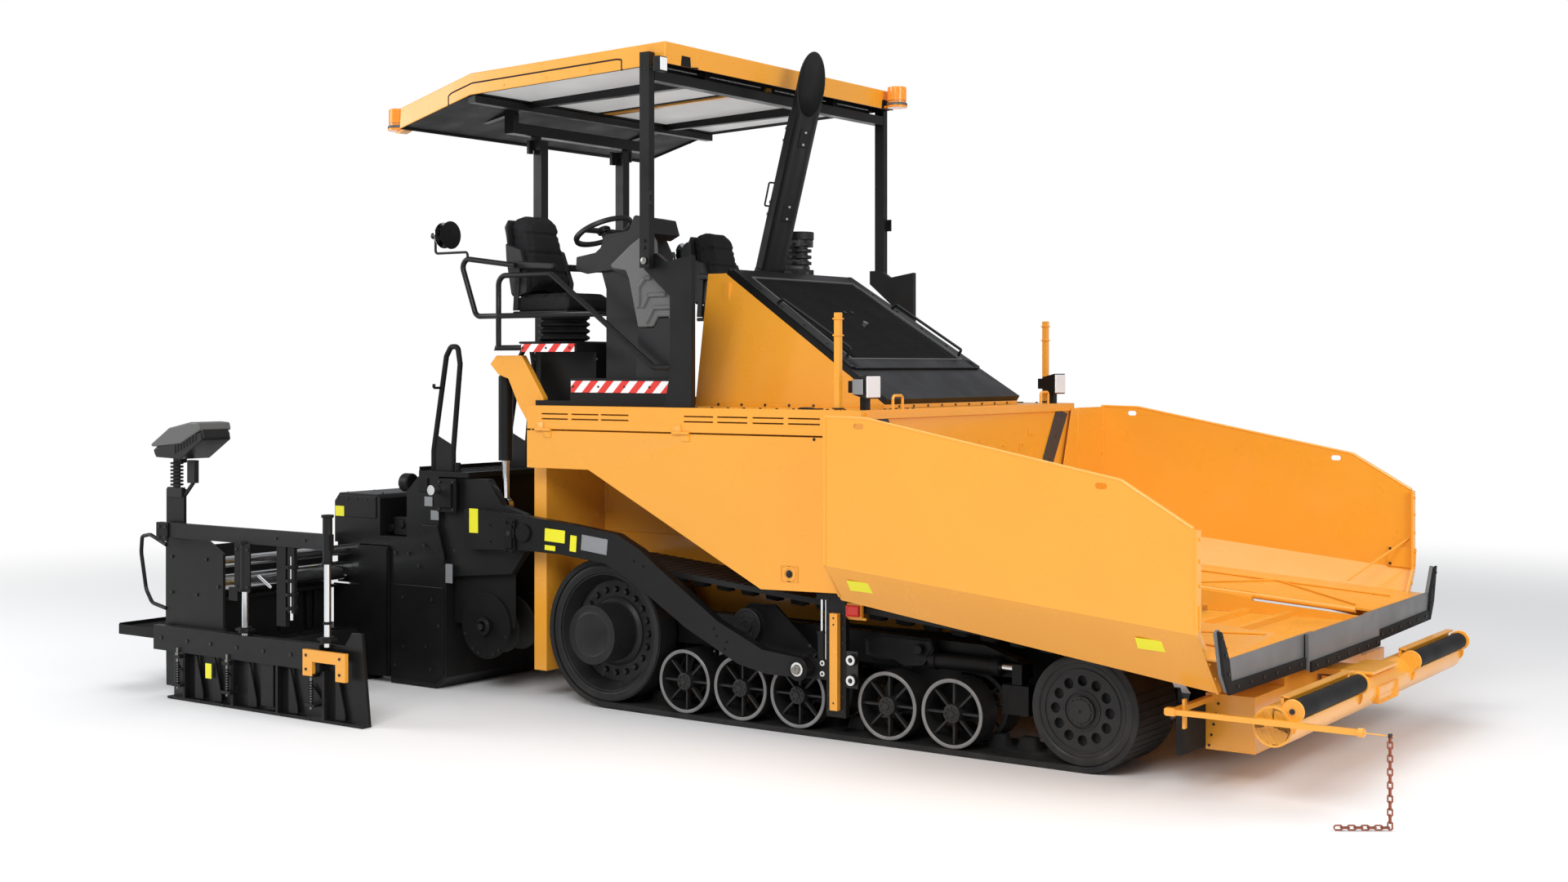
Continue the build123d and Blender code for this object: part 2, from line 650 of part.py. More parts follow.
with BuildPart() as seat_base:
    for step in range(4):
        block((seat_x - 200, seat_x + 200), (-seat_y - 190, -seat_y + 190), (2176 + step * 45, 2206 + step * 45))
        block((seat_x - 170, seat_x + 170), (-seat_y - 160, -seat_y + 160), (2206 + step * 45, 2221 + step * 45))
with BuildPart() as seat:
    add(seat_base.part)
    block((seat_x - 230, seat_x + 240), (-seat_y - 250, -seat_y + 250), (2356, 2480))
    slab([(seat_x - 230, 2480), (seat_x - 90, 2480), (seat_x - 180, 2990), (seat_x - 270, 3010), (seat_x - 320, 2980)],
         -seat_y - 220, -seat_y + 220)
save_both(seat, "seats")

wheel_x, wheel_y, wheel_z = -1060, -930, 2860
wheel_tilt = 25
steering_axis = Vector(-sin(radians(wheel_tilt)), 0, cos(radians(wheel_tilt)))
wheel_plane = Plane((wheel_x, wheel_y, wheel_z), x_dir=(0, 1, 0), z_dir=steering_axis)
with BuildPart() as console:
    slab([(-930, floor_top), (-700, floor_top), (-620, 2700), (-700, 2850), (-940, 2830), (-1000, 2700), (-930, 2500)],
         -1060, -800)
    with BuildSketch(wheel_plane.offset(-190)) as column:
        Circle(22)
    extrude(column.sketch, amount=160)
save(console, "console")
with BuildPart() as steering_wheel:
    with BuildSketch(wheel_plane.offset(-12)) as ring:
        Circle(190)
        Circle(160, mode=Mode.SUBTRACT)
        Rectangle(340, 30)
        Circle(40)
    extrude(ring.sketch, amount=26)
    with BuildSketch(wheel_plane.offset(-30)) as hub:
        Circle(22)
    extrude(hub.sketch, amount=20)
save(steering_wheel, "steering_wheel")
with BuildPart() as dash_cover:
    slab([(-900, 2560), (-860, 2400), (-800, 2270), (-640, 2270), (-560, 2400), (-560, 2560), (-650, 2800),
          (-760, 2830)], -1170, -1080)
    block((-700, -600), (-1170, -1100), (floor_top, 2270))
save_both(dash_cover, "dash_covers")

mirror_radius = 88
with BuildPart() as platform_rail:
    rail([(-1661, -1221, 2133), (-1661, -1221, 2595), (-1227, -1221, 2595), (-433, -1221, 2030),
          (-300, -1221, 2030)], 60, 17)
    long_rod(-1221, 2347, -1661, -880, 17)
    long_rod(-1221, 2150, -1678, -1461, 17)
    rail([(-1661, -1221, 2347), (-1850, -1221, 2347), (-1990, -1221, 2715), (-1520, -1221, 2655)], 50, 17)
    rail([(-1925, -1221, 2700), (-1925, -1221, 2750), (-2205, -1221, 2750), (-2205, -1221, 2862)], 20, 8)
    long_rod(-1221, 2862, -2228, -2120, 20)
    with Locations(Location((-2100, -1221, 2862), (0, 90, 0))):
        Cone(40, mirror_radius, 60)
save_both(platform_rail, "platform_rails")

with BuildPart() as lift_bracket:
    slab([(-1760, 2050), (-1710, 2103), (-1497, 2103), (-1319, 1845), (-1319, floor_top), (deck_rear, floor_top),
          (deck_rear, 1700), (-1450, 1700), (-1525, 1800), (-1609, 1961), (-1690, 1985)], -1190, -1150)
    cross_rod(-1715, 2030, -1150, -1065, 22)
save_both(lift_bracket, "lift_brackets")

# Canopy: roof shell on a frame, carried by two front and two rear posts
post_low_z, post_top_z = 2645, 3720
post_x = -441
post_inner, post_outer = deck_half - 25, deck_half + 25
bracket_inner, bracket_outer = deck_half - 70, deck_half - 32
rear_post_x, rear_post_y = -2039, 421
rear_low_z = 2425
rear_top_z = rear_low_z + post_top_z - post_low_z
with BuildPart() as canopy_bracket:
    slab([(-490, 2690), (-490, 2600), (-300, 2440), (-300, 1990), (-340, deck_top), (-142, deck_top), (-142, 2670),
          (-330, 2640), (-400, 2690)], -bracket_outer, -bracket_inner)
    cross_rod(post_x, post_low_z, -post_outer - 5, -bracket_outer, 15)
    cross_rod(rear_post_x, rear_low_z, -458, -366, 15)
    block((rear_post_x - 20, rear_post_x + 20), (-380, -366), (floor_top, rear_low_z + 30))
save_both(canopy_bracket, "canopy_brackets")
with BuildPart() as front_post:
    block((post_x - 35, post_x + 35), (-post_outer, -post_inner), (post_low_z - 40, post_top_z + 130))
    cross_rod(post_x, post_low_z, -post_outer - 10, -post_inner + 10, 15 + pin_gap, mode=Mode.SUBTRACT)
    cross_rod(post_x, post_top_z, -post_outer - 10, -post_inner + 10, 15 + pin_gap, mode=Mode.SUBTRACT)
save_both(front_post, "front_posts")
with BuildPart() as rear_post:
    block((rear_post_x - 35, rear_post_x + 35), (-455, -387), (rear_low_z - 35, rear_top_z + 30))
    cross_rod(rear_post_x, rear_low_z, -460, -380, 15 + pin_gap, mode=Mode.SUBTRACT)
    cross_rod(rear_post_x, rear_top_z, -460, -380, 15 + pin_gap, mode=Mode.SUBTRACT)
save_both(rear_post, "rear_posts")

roof_front, roof_rear, roof_kink = -335, -2502, -1886
roof_half = 1240
roof_sheet = 15
with BuildPart() as canopy_roof:
    slab([(roof_front, 3912), (roof_kink, 3862), (roof_rear, 3694), (roof_rear - 11, 3557), (roof_kink, 3725),
          (roof_front - 4, 3784)], -roof_half, roof_half)
    slab([(roof_front - roof_sheet, 3912 - roof_sheet), (roof_kink, 3862 - roof_sheet),
          (roof_rear + roof_sheet, 3694 - roof_sheet), (roof_rear + roof_sheet - 11, 3500), (roof_kink, 3600),
          (roof_front - roof_sheet, 3700)], -roof_half + roof_sheet, roof_half - roof_sheet, mode=Mode.SUBTRACT)
save(canopy_roof, "canopy_roof")
with BuildPart() as canopy_frame:
    block((post_x - 35, post_x + 35), (-post_inner + 5, post_inner - 5), (post_top_z - 30, post_top_z + 30))
    cross_rod(post_x, post_top_z, -post_outer, post_outer, 15)
    block((roof_kink - 30, roof_kink + 30), (-roof_half + roof_sheet, roof_half - roof_sheet), (3680, 3724))
    for y in (-700, 700):
        slab([(post_x, 3730), (post_x, 3895 - 16), (roof_kink, 3862 - roof_sheet - 1), (roof_rear + 40, 3694 - 30),
              (roof_rear + 40, 3600), (roof_kink, 3700)], y - 25, y + 25)
    block((rear_post_x - 40, rear_post_x + 40), (-725, 725), (3550, 3620))
    for side in (-1, 1):
        low, high = sorted((side * 675, side * 725))
        block((rear_post_x - 40, rear_post_x + 40), (low, high), (3600, 3680))
        low, high = sorted((side * 460, side * 476))
        block((rear_post_x - 40, rear_post_x + 40), (low, high), (rear_top_z - 35, 3560))
        low, high = sorted((side * 380, side * 476))
        cross_rod(rear_post_x, rear_top_z, low, high, 15)
save(canopy_frame, "canopy_frame")

# Lamps and marker posts on the deck
with BuildPart() as headlight:
    block((828, 862), (-1240, -1206), (deck_top, 2327))
    post(960, -1116, deck_top, 1860, 14)
    block((900, 1000), (-1190, -1042), (1860, 1990))
save_both(headlight, "headlights")
with BuildPart() as beacon:
    post(0, 0, 0, 15, 70)
    post(0, 0, 15, 140, 62)
with BuildPart() as beacons:
    with Locations((-2600, -1160, 3560), (-255, 1180, 3790)):
        add(beacon.part)
    block((-2580, roof_rear - 11), (-1200, -1120), (3560, 3575))
    block((roof_front - 3.3, -280), (1140, 1220), (3790, 3805))
save(beacons, "beacons")

# Tow guides and tow arms
with BuildPart() as tow_guide:
    block((760, 886), (-1210, -1175), (135, 800))
    block((760, 886), (-1175, -hull_half), (765, 800))
    block((560, 760), (-1210, -1175), (330, 440))
    cross_rod(tow_x, tow_z, -1300, -1210, 25)
    block((800, 850), (-1240, -1210), (175, 700))
    for z in (345, 455):
        cross_rod(930, z, -1230, -1190, 32)
        block((886, 930), (-1205, -1195), (z - 15, z + 15))
save_both(tow_guide, "tow_guides")
arm_top = [(-1900, 1150), (-1410, 1130), (-1051, 1098), (-672, 1056), (-491, 971), (-370, 886), (70, 603), (379, 470),
           (640, 446), (690, 385)]
arm_bottom = [(651, 340), (407, 338), (212, 376), (-161, 550), (-579, 801), (-765, 879), (-1115, 912), (-1410, 919),
              (-1900, 900)]
with BuildPart() as tow_arm:
    slab(arm_top + arm_bottom, -arm_inner - arm_thick, -arm_inner)
    cross_rod(tow_x, tow_z, -arm_inner - arm_thick - 5, -arm_inner + 5, 25 + pin_gap, mode=Mode.SUBTRACT)
save_both(tow_arm, "tow_arms")

# Main screed: box with soles, tube housing, towers to the arms, walkway and its rails
screed_outline = [(-2590, 0), (-2180, 0), (-2095, 75), (-2095, 800), (-2160, 850), (-2160, 1340), (-2335, 1340),
                  (-2445, 1240), (-2445, 940), (-2690, 940), (-2690, 1180), (-2720, 1206), (-3070, 1206),
                  (-3118, 1150), (-3118, 880), (-2590, 880)]
tube_low = (-3000, 705, 60)
tube_high = (-2960, 840, 34)
with BuildPart() as screed_frame:
    slab(screed_outline, -screed_half, screed_half)
    with BuildSketch(side_plane(0)) as inner_outline:
        with BuildLine():
            Polyline(*screed_outline, close=True)
        make_face()
        offset(amount=-15, mode=Mode.REPLACE)
    extrude(inner_outline.sketch, amount=screed_half - 15, both=True, mode=Mode.SUBTRACT)
    for side in (-1, 1):
        low, high = sorted((side * 1160, side * arm_inner))
        slab([(-2160, 705), (-1560, 760), (-1450, 900), (-1450, 1130), (-1640, 1180), (-1760, 1335), (-2160, 1335)],
             low, high)
        low, high = sorted((side * 1075, side * 1160))
        cross_rod(-1715, 1170, low, high, 22)
        low, high = sorted((side * 1200, side * screed_half))
        block((-3090, -2880), (low, high), (620, 885))
        for x, z, radius in (tube_low, tube_high):
            cross_rod(x, z, low, high, radius + pin_gap, mode=Mode.SUBTRACT)
save(screed_frame, "screed_frame")
with BuildPart() as screed_rail:
    for y in (-1180, -500):
        rail([(-2262, y, 1373), (-2262, y, 1500), (-2150, y, 2100), (-2110, y, 2160), (-2050, y, 2160),
              (-2030, y, 2050), (-2090, y, 1500), (-2090, y, 1373)], 28, 17)
with BuildPart() as screed_walkway:
    block((-2335, -1900), (-screed_half, screed_half), (1340, 1373))
    add(screed_rail.part)
    mirror(screed_rail.part, about=Plane.XZ)
save(screed_walkway, "screed_walkway")

# Extensions: each slides out of the main screed on two tubes, with its end gate and footboard
shoe_outline = [(-3300, 0), (-2800, 0), (-2800, 250), (-2900, 330), (-3250, 330), (-3300, 250)]
end_low = -extension_outer
gate_sleeves = [(-1873, 905, 1177), (-2590, 700, 985)]
with BuildPart() as extension:
    slab(shoe_outline, end_low, -extension_inner)
    with BuildSketch(side_plane((end_low - extension_inner) / 2)) as shoe_inner:
        with BuildLine():
            Polyline(*shoe_outline, close=True)
        make_face()
        offset(amount=-12, mode=Mode.REPLACE)
    extrude(shoe_inner.sketch, amount=(extension_outer - extension_inner) / 2 - 12, both=True, mode=Mode.SUBTRACT)
    slab([(-3400, 60), (-2760, 60), (-2760, 330), (-2860, 450), (-2860, 900), (-3050, 1000), (-3406, 1000),
          (-3406, 435)], end_low, end_low + 20)
    for x, z, radius in (tube_low, tube_high):
        cross_rod(x, z, end_low, -extension_inner, radius)
    block((-3080, -2930), (-extension_inner - 70, -extension_inner - 10), (330, 850))
    block((-3406, -1845), (-2415, -2380), (985, 1075))
    block((-3406, -3300), (-2380, end_low), (985, 1000))
    for x, low, high in gate_sleeves:
        post(x, -2402, low, high, 28)
        post(x, -2402, low - 1, low + 160, 20 + pin_gap, mode=Mode.SUBTRACT)
    block((-3400, -3230), (end_low, end_low + 20), (1000, 1280))
    block((-3900, -3530), (-2330, -1130), (340, 380))
    for y in (-2240, -1340):
        block((-3530, -3300), (y, y + 40), (345, 375))
    for y in (-2240, -1340):
        block((-3312, -3300), (y, y + 40), (230, 375))
save_pair(extension, "extension")
with BuildPart() as end_gate:
    slab([(-3290, 0), (-1560, 0), (-1620, 522), (-1700, 522), (-1760, 440), (-3290, 440)], -2376, -2356)
    block((-3427, -1917), (-2425, -2376), (290, 440))
    block((-3290, -1560), (-2425, -2376), (0, 15))
    for x in (-3150, -2700, -2300, -1900):
        block((x, x + 20), (-2420, -2376), (15, 290))
    for x, low, high in gate_sleeves:
        post(x, -2402, 430, low + 50, 20)
    block((-2030, -1675), (-2450, -2425), (345, 412))
    block((-2030, -1950), (-2450, -2425), (262, 345))
    block((-1755, -1675), (-2450, -2425), (250, 345))
save_pair(end_gate, "end_gate")
with BuildPart() as control_box:
    block((-3340, -3280), (-2350, -2330), (1280, 1480))
    slab([(-3420, 1480), (-3150, 1480), (-2950, 1600), (-2980, 1680), (-3250, 1640), (-3440, 1520)], -2420, -2220)
save_pair(control_box, "control_box")

# Screed lift cylinders
lift_x, lift_top, lift_eye = -1715, 2030, 1170
with BuildPart() as lift_barrel:
    post(lift_x, -1100, 1450, lift_top - 55, 45)
    post(lift_x, -1100, 1440, lift_top - 100, 22 + pin_gap, mode=Mode.SUBTRACT)
    block((lift_x - 30, lift_x + 30), (-1125, -1075), (lift_top - 60, lift_top))
    cross_rod(lift_x, lift_top, -1125, -1075, 30)
    cross_rod(lift_x, lift_top, -1130, -1070, 22 + pin_gap, mode=Mode.SUBTRACT)
save_pair(lift_barrel, "lift_barrel")
with BuildPart() as lift_rod:
    post(lift_x, -1100, lift_eye + 45, 1700, 22)
    cross_rod(lift_x, lift_eye, -1120, -1080, 50)
    cross_rod(lift_x, lift_eye, -1125, -1075, 36, mode=Mode.SUBTRACT)
save_pair(lift_rod, "lift_rod")

# Augers, each half on its own shaft, hung from a central drive case
auger_x, auger_z = -1800, 420
auger_radius = 190
with BuildPart() as auger_drive:
    block((auger_x - 50, auger_x + 50), (-55, 55), (auger_z - 100, 1110))
    block((auger_x, hull_rear), (-55, 55), (1010, 1110))
    cross_rod(auger_x, auger_z, -1190, 1190, 24)
save(auger_drive, "auger_drive")
with BuildPart() as auger:
    cross_rod(auger_x, auger_z, -1150, -65, 45)
    with Locations(*[Location((auger_x, -130 - step * 160, auger_z), (90 + 15, 0, 0)) for step in range(7)]):
        Cylinder(auger_radius - 5, 12)
    cross_rod(auger_x, auger_z, -1160, -60, 24 + pin_gap, mode=Mode.SUBTRACT)
save_pair(auger, "auger")
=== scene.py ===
"""Looks of a tracked asphalt paver: finishes, fittings, seats and stage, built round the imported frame."""

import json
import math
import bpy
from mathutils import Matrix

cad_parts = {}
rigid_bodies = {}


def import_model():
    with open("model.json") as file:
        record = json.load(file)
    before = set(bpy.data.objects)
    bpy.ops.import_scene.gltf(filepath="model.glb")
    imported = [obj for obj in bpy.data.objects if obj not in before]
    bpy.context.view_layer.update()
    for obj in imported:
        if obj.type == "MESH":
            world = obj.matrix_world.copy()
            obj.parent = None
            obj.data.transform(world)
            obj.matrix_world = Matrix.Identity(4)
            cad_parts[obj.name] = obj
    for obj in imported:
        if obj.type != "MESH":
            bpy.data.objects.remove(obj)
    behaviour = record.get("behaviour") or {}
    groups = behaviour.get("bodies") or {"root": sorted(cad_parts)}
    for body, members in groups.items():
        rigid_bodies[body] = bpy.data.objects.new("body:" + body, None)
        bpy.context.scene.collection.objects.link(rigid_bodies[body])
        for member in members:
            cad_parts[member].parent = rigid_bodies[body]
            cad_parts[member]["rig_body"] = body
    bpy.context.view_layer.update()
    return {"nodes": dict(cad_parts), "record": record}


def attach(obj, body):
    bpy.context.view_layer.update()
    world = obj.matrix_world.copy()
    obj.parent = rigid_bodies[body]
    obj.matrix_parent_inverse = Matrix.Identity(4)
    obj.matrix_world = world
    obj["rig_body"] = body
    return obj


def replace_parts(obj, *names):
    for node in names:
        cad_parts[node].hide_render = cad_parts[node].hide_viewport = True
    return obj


bl_info = {
    "name": "Asphalt Paver Looks",
    "version": (1, 0, 0),
    "blender": (4, 5, 0),
    "location": "3D View > Sidebar > Paver",
    "description": "Finishes, fittings and stage for a tracked asphalt paver",
    "category": "Object",
}

import bmesh
import bpy
from bpy.props import FloatProperty, FloatVectorProperty, IntProperty, PointerProperty
from bpy.types import Operator, Panel, PropertyGroup
from mathutils import Matrix, Vector

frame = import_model()

MM = 0.001
SIDES = (("right", 1), ("left", -1))
OUT, FRONT, UP = (0, -1, 0), (1, 0, 0), (0, 0, 1)


# Shapes

def point(x, y, z):
    return Vector((x, y, z)) * MM


def at(place, y):
    """A place (x, z) of the side view, at a distance y across the machine."""
    return (place[0], y, place[1])


def box(bm, x, y, z):
    """Box from its ranges along the three axes, in millimetres."""
    middle = point(sum(x) / 2, sum(y) / 2, sum(z) / 2)
    size = Matrix.Diagonal((abs(x[1] - x[0]) * MM, abs(y[1] - y[0]) * MM, abs(z[1] - z[0]) * MM, 1))
    return bmesh.ops.create_cube(bm, size=1, matrix=Matrix.Translation(middle) @ size)["verts"]


def boxes(bm, *rows):
    """Boxes, each given by its ranges in one row of six numbers."""
    for x_low, x_high, y_low, y_high, z_low, z_high in rows:
        box(bm, (x_low, x_high), (y_low, y_high), (z_low, z_high))


def rod(bm, start, end, radius, end_radius=None, sides=24):
    """Round bar between two points."""
    a, b = point(*start), point(*end)
    turn = (b - a).to_track_quat("Z", "Y").to_matrix().to_4x4()
    return bmesh.ops.create_cone(
        bm, cap_ends=True, segments=sides, radius1=radius * MM,
        radius2=(radius if end_radius is None else end_radius) * MM,
        depth=(b - a).length, matrix=Matrix.Translation((a + b) / 2) @ turn)["verts"]


def plate(bm, outline, axis, low, high):
    """Flat plate: an outline across one axis, drawn out from low to high."""
    corners = []
    for u, v in outline:
        place = {"x": (low, u, v), "y": (u, low, v), "z": (u, v, low)}[axis]
        corners.append(bm.verts.new(point(*place)))
    face = bm.faces.new(corners)
    grown = bmesh.ops.extrude_face_region(bm, geom=[face])["geom"]
    moved = [g for g in grown if isinstance(g, bmesh.types.BMVert)]
    shift = {"x": (high - low, 0, 0), "y": (0, high - low, 0), "z": (0, 0, high - low)}[axis]
    bmesh.ops.translate(bm, verts=moved, vec=point(*shift))
    return corners + moved


def turned(bm, profile, centre, axis, steps=32):
    """Turned shape: profile points of (radius, distance along the axis), spun once round."""
    along = Vector(axis).normalized()
    out = along.orthogonal().normalized()
    origin = point(*centre)
    verts = [bm.verts.new(origin + out * r * MM + along * d * MM) for r, d in profile]
    edges = [bm.edges.new((a, b)) for a, b in zip(verts, verts[1:])]
    if profile[0][0] > 0 and profile[-1][0] > 0:
        edges.append(bm.edges.new((verts[-1], verts[0])))
    bmesh.ops.spin(bm, geom=verts + edges, cent=origin, axis=along, angle=2 * math.pi, steps=steps, use_merge=True)


def bolt(bm, centre, axis, radius, height):
    """Hexagon head standing on a surface along an axis."""
    base = Vector(centre)
    scale = sizes().bolt_heads
    rod(bm, base, base + Vector(axis).normalized() * height * scale, radius * scale, sides=6)


def bolt_row(bm, start, stride, count, axis, radius, height):
    """Bolt heads in a straight row."""
    for step in range(count):
        bolt(bm, [a + b * step for a, b in zip(start, stride)], axis, radius, height)


def side_bolts(bm, face, spots, radius, height):
    """Bolt heads on an upright face along the machine, at places (x, z)."""
    for x, z in spots:
        bolt(bm, (x, face, z), OUT, radius, height)


def front_bolts(bm, face, spots, radius, height):
    """Bolt heads on an upright face across the machine, at places (y, z)."""
    for y, z in spots:
        bolt(bm, (face, y, z), FRONT, radius, height)


def finished_mesh(bm, name):
    bmesh.ops.remove_doubles(bm, verts=bm.verts, dist=1e-6)
    bmesh.ops.recalc_face_normals(bm, faces=bm.faces)
    mesh = bpy.data.meshes.new(name)
    bm.to_mesh(mesh)
    bm.free()
    return mesh


def soften(obj, width, segments, angle):
    """Rounded edges and smooth shading over round faces."""
    obj.data.polygons.foreach_set("use_smooth", [True] * len(obj.data.polygons))
    obj.data.set_sharp_from_angle(angle=math.radians(angle))
    if width:
        rounding = obj.modifiers.new("Rounded edges", "BEVEL")
        rounding.width = width * sizes().edge_rounding * MM
        rounding.segments = segments
        rounding.limit_method = "ANGLE"
        rounding.angle_limit = math.radians(angle)
        rounding.harden_normals = True


def make_piece(name, mesh, finish, body="tractor", slot=None, width=0.0, segments=2, angle=35):
    obj = bpy.data.objects.new(name, mesh)
    bpy.context.scene.collection.objects.link(obj)
    if not mesh.materials:
        mesh.materials.append(FINISHES[finish])
    soften(obj, width, segments, angle)
    slot = slot or SLOT_OF.get(finish, "grey_plastic")
    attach(obj, body)
    return obj


def build(shape, finish, width=0.0, segments=2, body="tractor", slot=None):
    """One piece, named after the function that draws it into an empty bmesh."""
    bm = bmesh.new()
    shape(bm)
    name = shape.__name__
    return make_piece(name, finished_mesh(bm, name), finish, body, slot, width, segments)


def build_pair(shape, finish, stem, width=0.0, segments=2, slot=None):
    """The right-hand piece and its mirror image, each on its own side's body."""
    name = shape.__name__
    for side, sign in SIDES:
        bm = bmesh.new()
        shape(bm)
        bmesh.ops.scale(bm, vec=(1, sign, 1), verts=bm.verts)
        make_piece(f"{name}_{side}", finished_mesh(bm, name), finish, f"{stem}_{side}", slot, width, segments)


def build_both(shape, finish, width=0.0, segments=2, body="tractor", slot=None):
    """One piece holding the right-hand shape and its mirror image."""
    bm = bmesh.new()
    shape(bm)
    twin = bmesh.ops.duplicate(bm, geom=bm.verts[:] + bm.edges[:] + bm.faces[:])["geom"]
    bmesh.ops.scale(bm, vec=(1, -1, 1), verts=[g for g in twin if isinstance(g, bmesh.types.BMVert)])
    name = shape.__name__
    return make_piece(name, finished_mesh(bm, name), finish, body, slot, width, segments)


def bent_tube(name, routes, radius, finish, corner, body="tractor", mirrored=False):
    """Tubes bent at their corners, as one mesh."""
    curve = bpy.data.curves.new(name, "CURVE")
    curve.dimensions = "3D"
    curve.bevel_depth = radius * MM
    curve.bevel_resolution = 3
    curve.resolution_u = 6
    curve.use_fill_caps = True
    for sign in (1, -1) if mirrored else (1,):
        for route in routes:
            spots = [point(x, y * sign, z) for x, y, z in route]
            held = [spots[0]]
            for before, here, after in zip(spots, spots[1:], spots[2:]):
                reach = min(corner * MM, (here - before).length * 0.45, (after - here).length * 0.45)
                held += [here + (before - here).normalized() * reach, here, here + (after - here).normalized() * reach]
            held.append(spots[-1])
            spline = curve.splines.new("NURBS")
            spline.points.add(len(held) - 1)
            for spot, place in zip(spline.points, held):
                spot.co = (*place, 1)
            spline.order_u = 3
            spline.use_endpoint_u = True
    holder = bpy.data.objects.new(name, curve)
    mesh = bpy.data.meshes.new_from_object(holder)
    bpy.data.objects.remove(holder)
    bpy.data.curves.remove(curve)
    mesh.name = name
    mesh.materials.clear()
    return make_piece(name, mesh, finish, body)


NODE_SLOTS = {part["node"]: part["material_slot"] for part in frame["record"]["subparts"]}


def dress(node, finish, width):
    """A copy of a CAD node with its flats joined and its edges rounded, which stands for that node."""
    source = frame["nodes"][node]
    bm = bmesh.new()
    bm.from_mesh(source.data)
    bmesh.ops.remove_doubles(bm, verts=bm.verts, dist=1e-5)
    bmesh.ops.dissolve_limit(bm, angle_limit=math.radians(0.5), verts=bm.verts, edges=bm.edges)
    mesh = bpy.data.meshes.new(f"{node}_skin")
    bm.to_mesh(mesh)
    bm.free()
    piece = make_piece(f"{node}_skin", mesh, finish, source["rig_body"], NODE_SLOTS[node], width)
    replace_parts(piece, node)
    return piece


def repaint(node, finish, wanted):
    """Give another finish to those faces of a dressed node whose middle, in millimetres, a rule picks."""
    mesh = bpy.data.objects[f"{node}_skin"].data
    mesh.materials.append(FINISHES[finish])
    for face in mesh.polygons:
        if wanted(*(face.center / MM)):
            face.material_index = len(mesh.materials) - 1


# Finishes

FINISHES = {}
# Finishes by the material slot they stand for; the others stand for grey_plastic
SLOT_FINISHES = {
    "yellow_paint": "yellow_enamel plate_yellow",
    "black_paint": "black_enamel black_satin wheel_black worn_rim dark_bolt hood_mesh soot mirror_glass",
    "rubber": "track_rubber soft_rubber grey_rubber",
    "steel": "chrome_rod zinc_bolt",
    "beacon_amber": "amber_lens",
}
SLOT_OF = {finish: slot for slot, finishes in SLOT_FINISHES.items() for finish in finishes.split()}


def effect_group(name, inputs, outputs):
    """Empty shader node group that reads a place, with further named sockets: (name, kind, default)."""
    group = bpy.data.node_groups.new(name, "ShaderNodeTree")
    for label, kind, default in [("Vector", "Vector", (0, 0, 0)), *inputs]:
        socket = group.interface.new_socket(name=label, in_out="INPUT", socket_type=f"NodeSocket{kind}")
        socket.default_value = default
    for label, kind in outputs:
        group.interface.new_socket(name=label, in_out="OUTPUT", socket_type=f"NodeSocket{kind}")
    return group, group.nodes.new("NodeGroupInput").outputs, group.nodes.new("NodeGroupOutput").inputs


def add_node(tree, kind, links=(), **values):
    """Node with attributes by name, socket values by input name or number, and links into it.

    A link comes from a socket, or from a node's first output.
    """
    node = tree.nodes.new(f"ShaderNode{kind}")
    for key, value in values.items():
        if key.startswith("in_"):
            label = key[3:]
            node.inputs[int(label) if label.isdigit() else label.replace("_", " ")].default_value = value
        else:
            setattr(node, key, value)
    for target, source in links:
        tree.links.new(getattr(source, "outputs", [source])[0], node.inputs[target])
    return node


def maths(tree, operation, *values, clamp=False):
    """Result of a sum over numbers, sockets and first outputs of nodes."""
    node = add_node(tree, "Math", operation=operation, use_clamp=clamp)
    for slot, value in zip(node.inputs, values):
        if isinstance(value, (int, float)):
            slot.default_value = value
        else:
            tree.links.new(getattr(value, "outputs", [value])[0], slot)
    return node.outputs[0]


def mix_colours(tree, share, first, second):
    """Colour output between two colours, each a socket or plain numbers, by the first output of a node."""
    mix = add_node(tree, "Mix", [(0, share)], data_type="RGBA")
    for slot, colour in ((6, first), (7, second)):
        if isinstance(colour, tuple):
            mix.inputs[slot].default_value = colour
        else:
            tree.links.new(colour, mix.inputs[slot])
    return mix.outputs[2]


def make_grain_group():
    """Fine orange peel over a slow ripple, as sprayed paint has."""
    group, given, result = effect_group("Paint grain", [("Scale", "Float", 400.0)], [("Height", "Float")])
    fine = add_node(group, "TexNoise", [(0, given["Vector"]), ("Scale", given["Scale"])], in_Detail=2.0)
    slow = add_node(group, "TexNoise", [(0, given["Vector"])], in_Scale=3.0, in_Detail=1.0)
    both = maths(group, "MULTIPLY_ADD", fine, 0.35, slow)
    group.links.new(both, result["Height"])
    return group


def make_drift_group():
    """Slow change of a colour's brightness over a surface."""
    group, given, result = effect_group(
        "Colour drift", [("Colour", "Color", (1, 1, 1, 1)),
                         ("Scale", "Float", 2.0), ("Amount", "Float", 0.1)], [("Colour", "Color")])
    cloud = add_node(group, "TexNoise", [(0, given["Vector"]), ("Scale", given["Scale"])],
                     in_Detail=5.0, in_Roughness=0.6)
    centred = maths(group, "SUBTRACT", cloud, 0.5)
    scaled = maths(group, "MULTIPLY", centred, given["Amount"])
    bright = maths(group, "MULTIPLY_ADD", scaled, 2.0, 1.0)
    tone = add_node(group, "VectorMath", [(0, given["Colour"]), ("Scale", bright)], operation="SCALE")
    group.links.new(tone.outputs[0], result["Colour"])
    return group


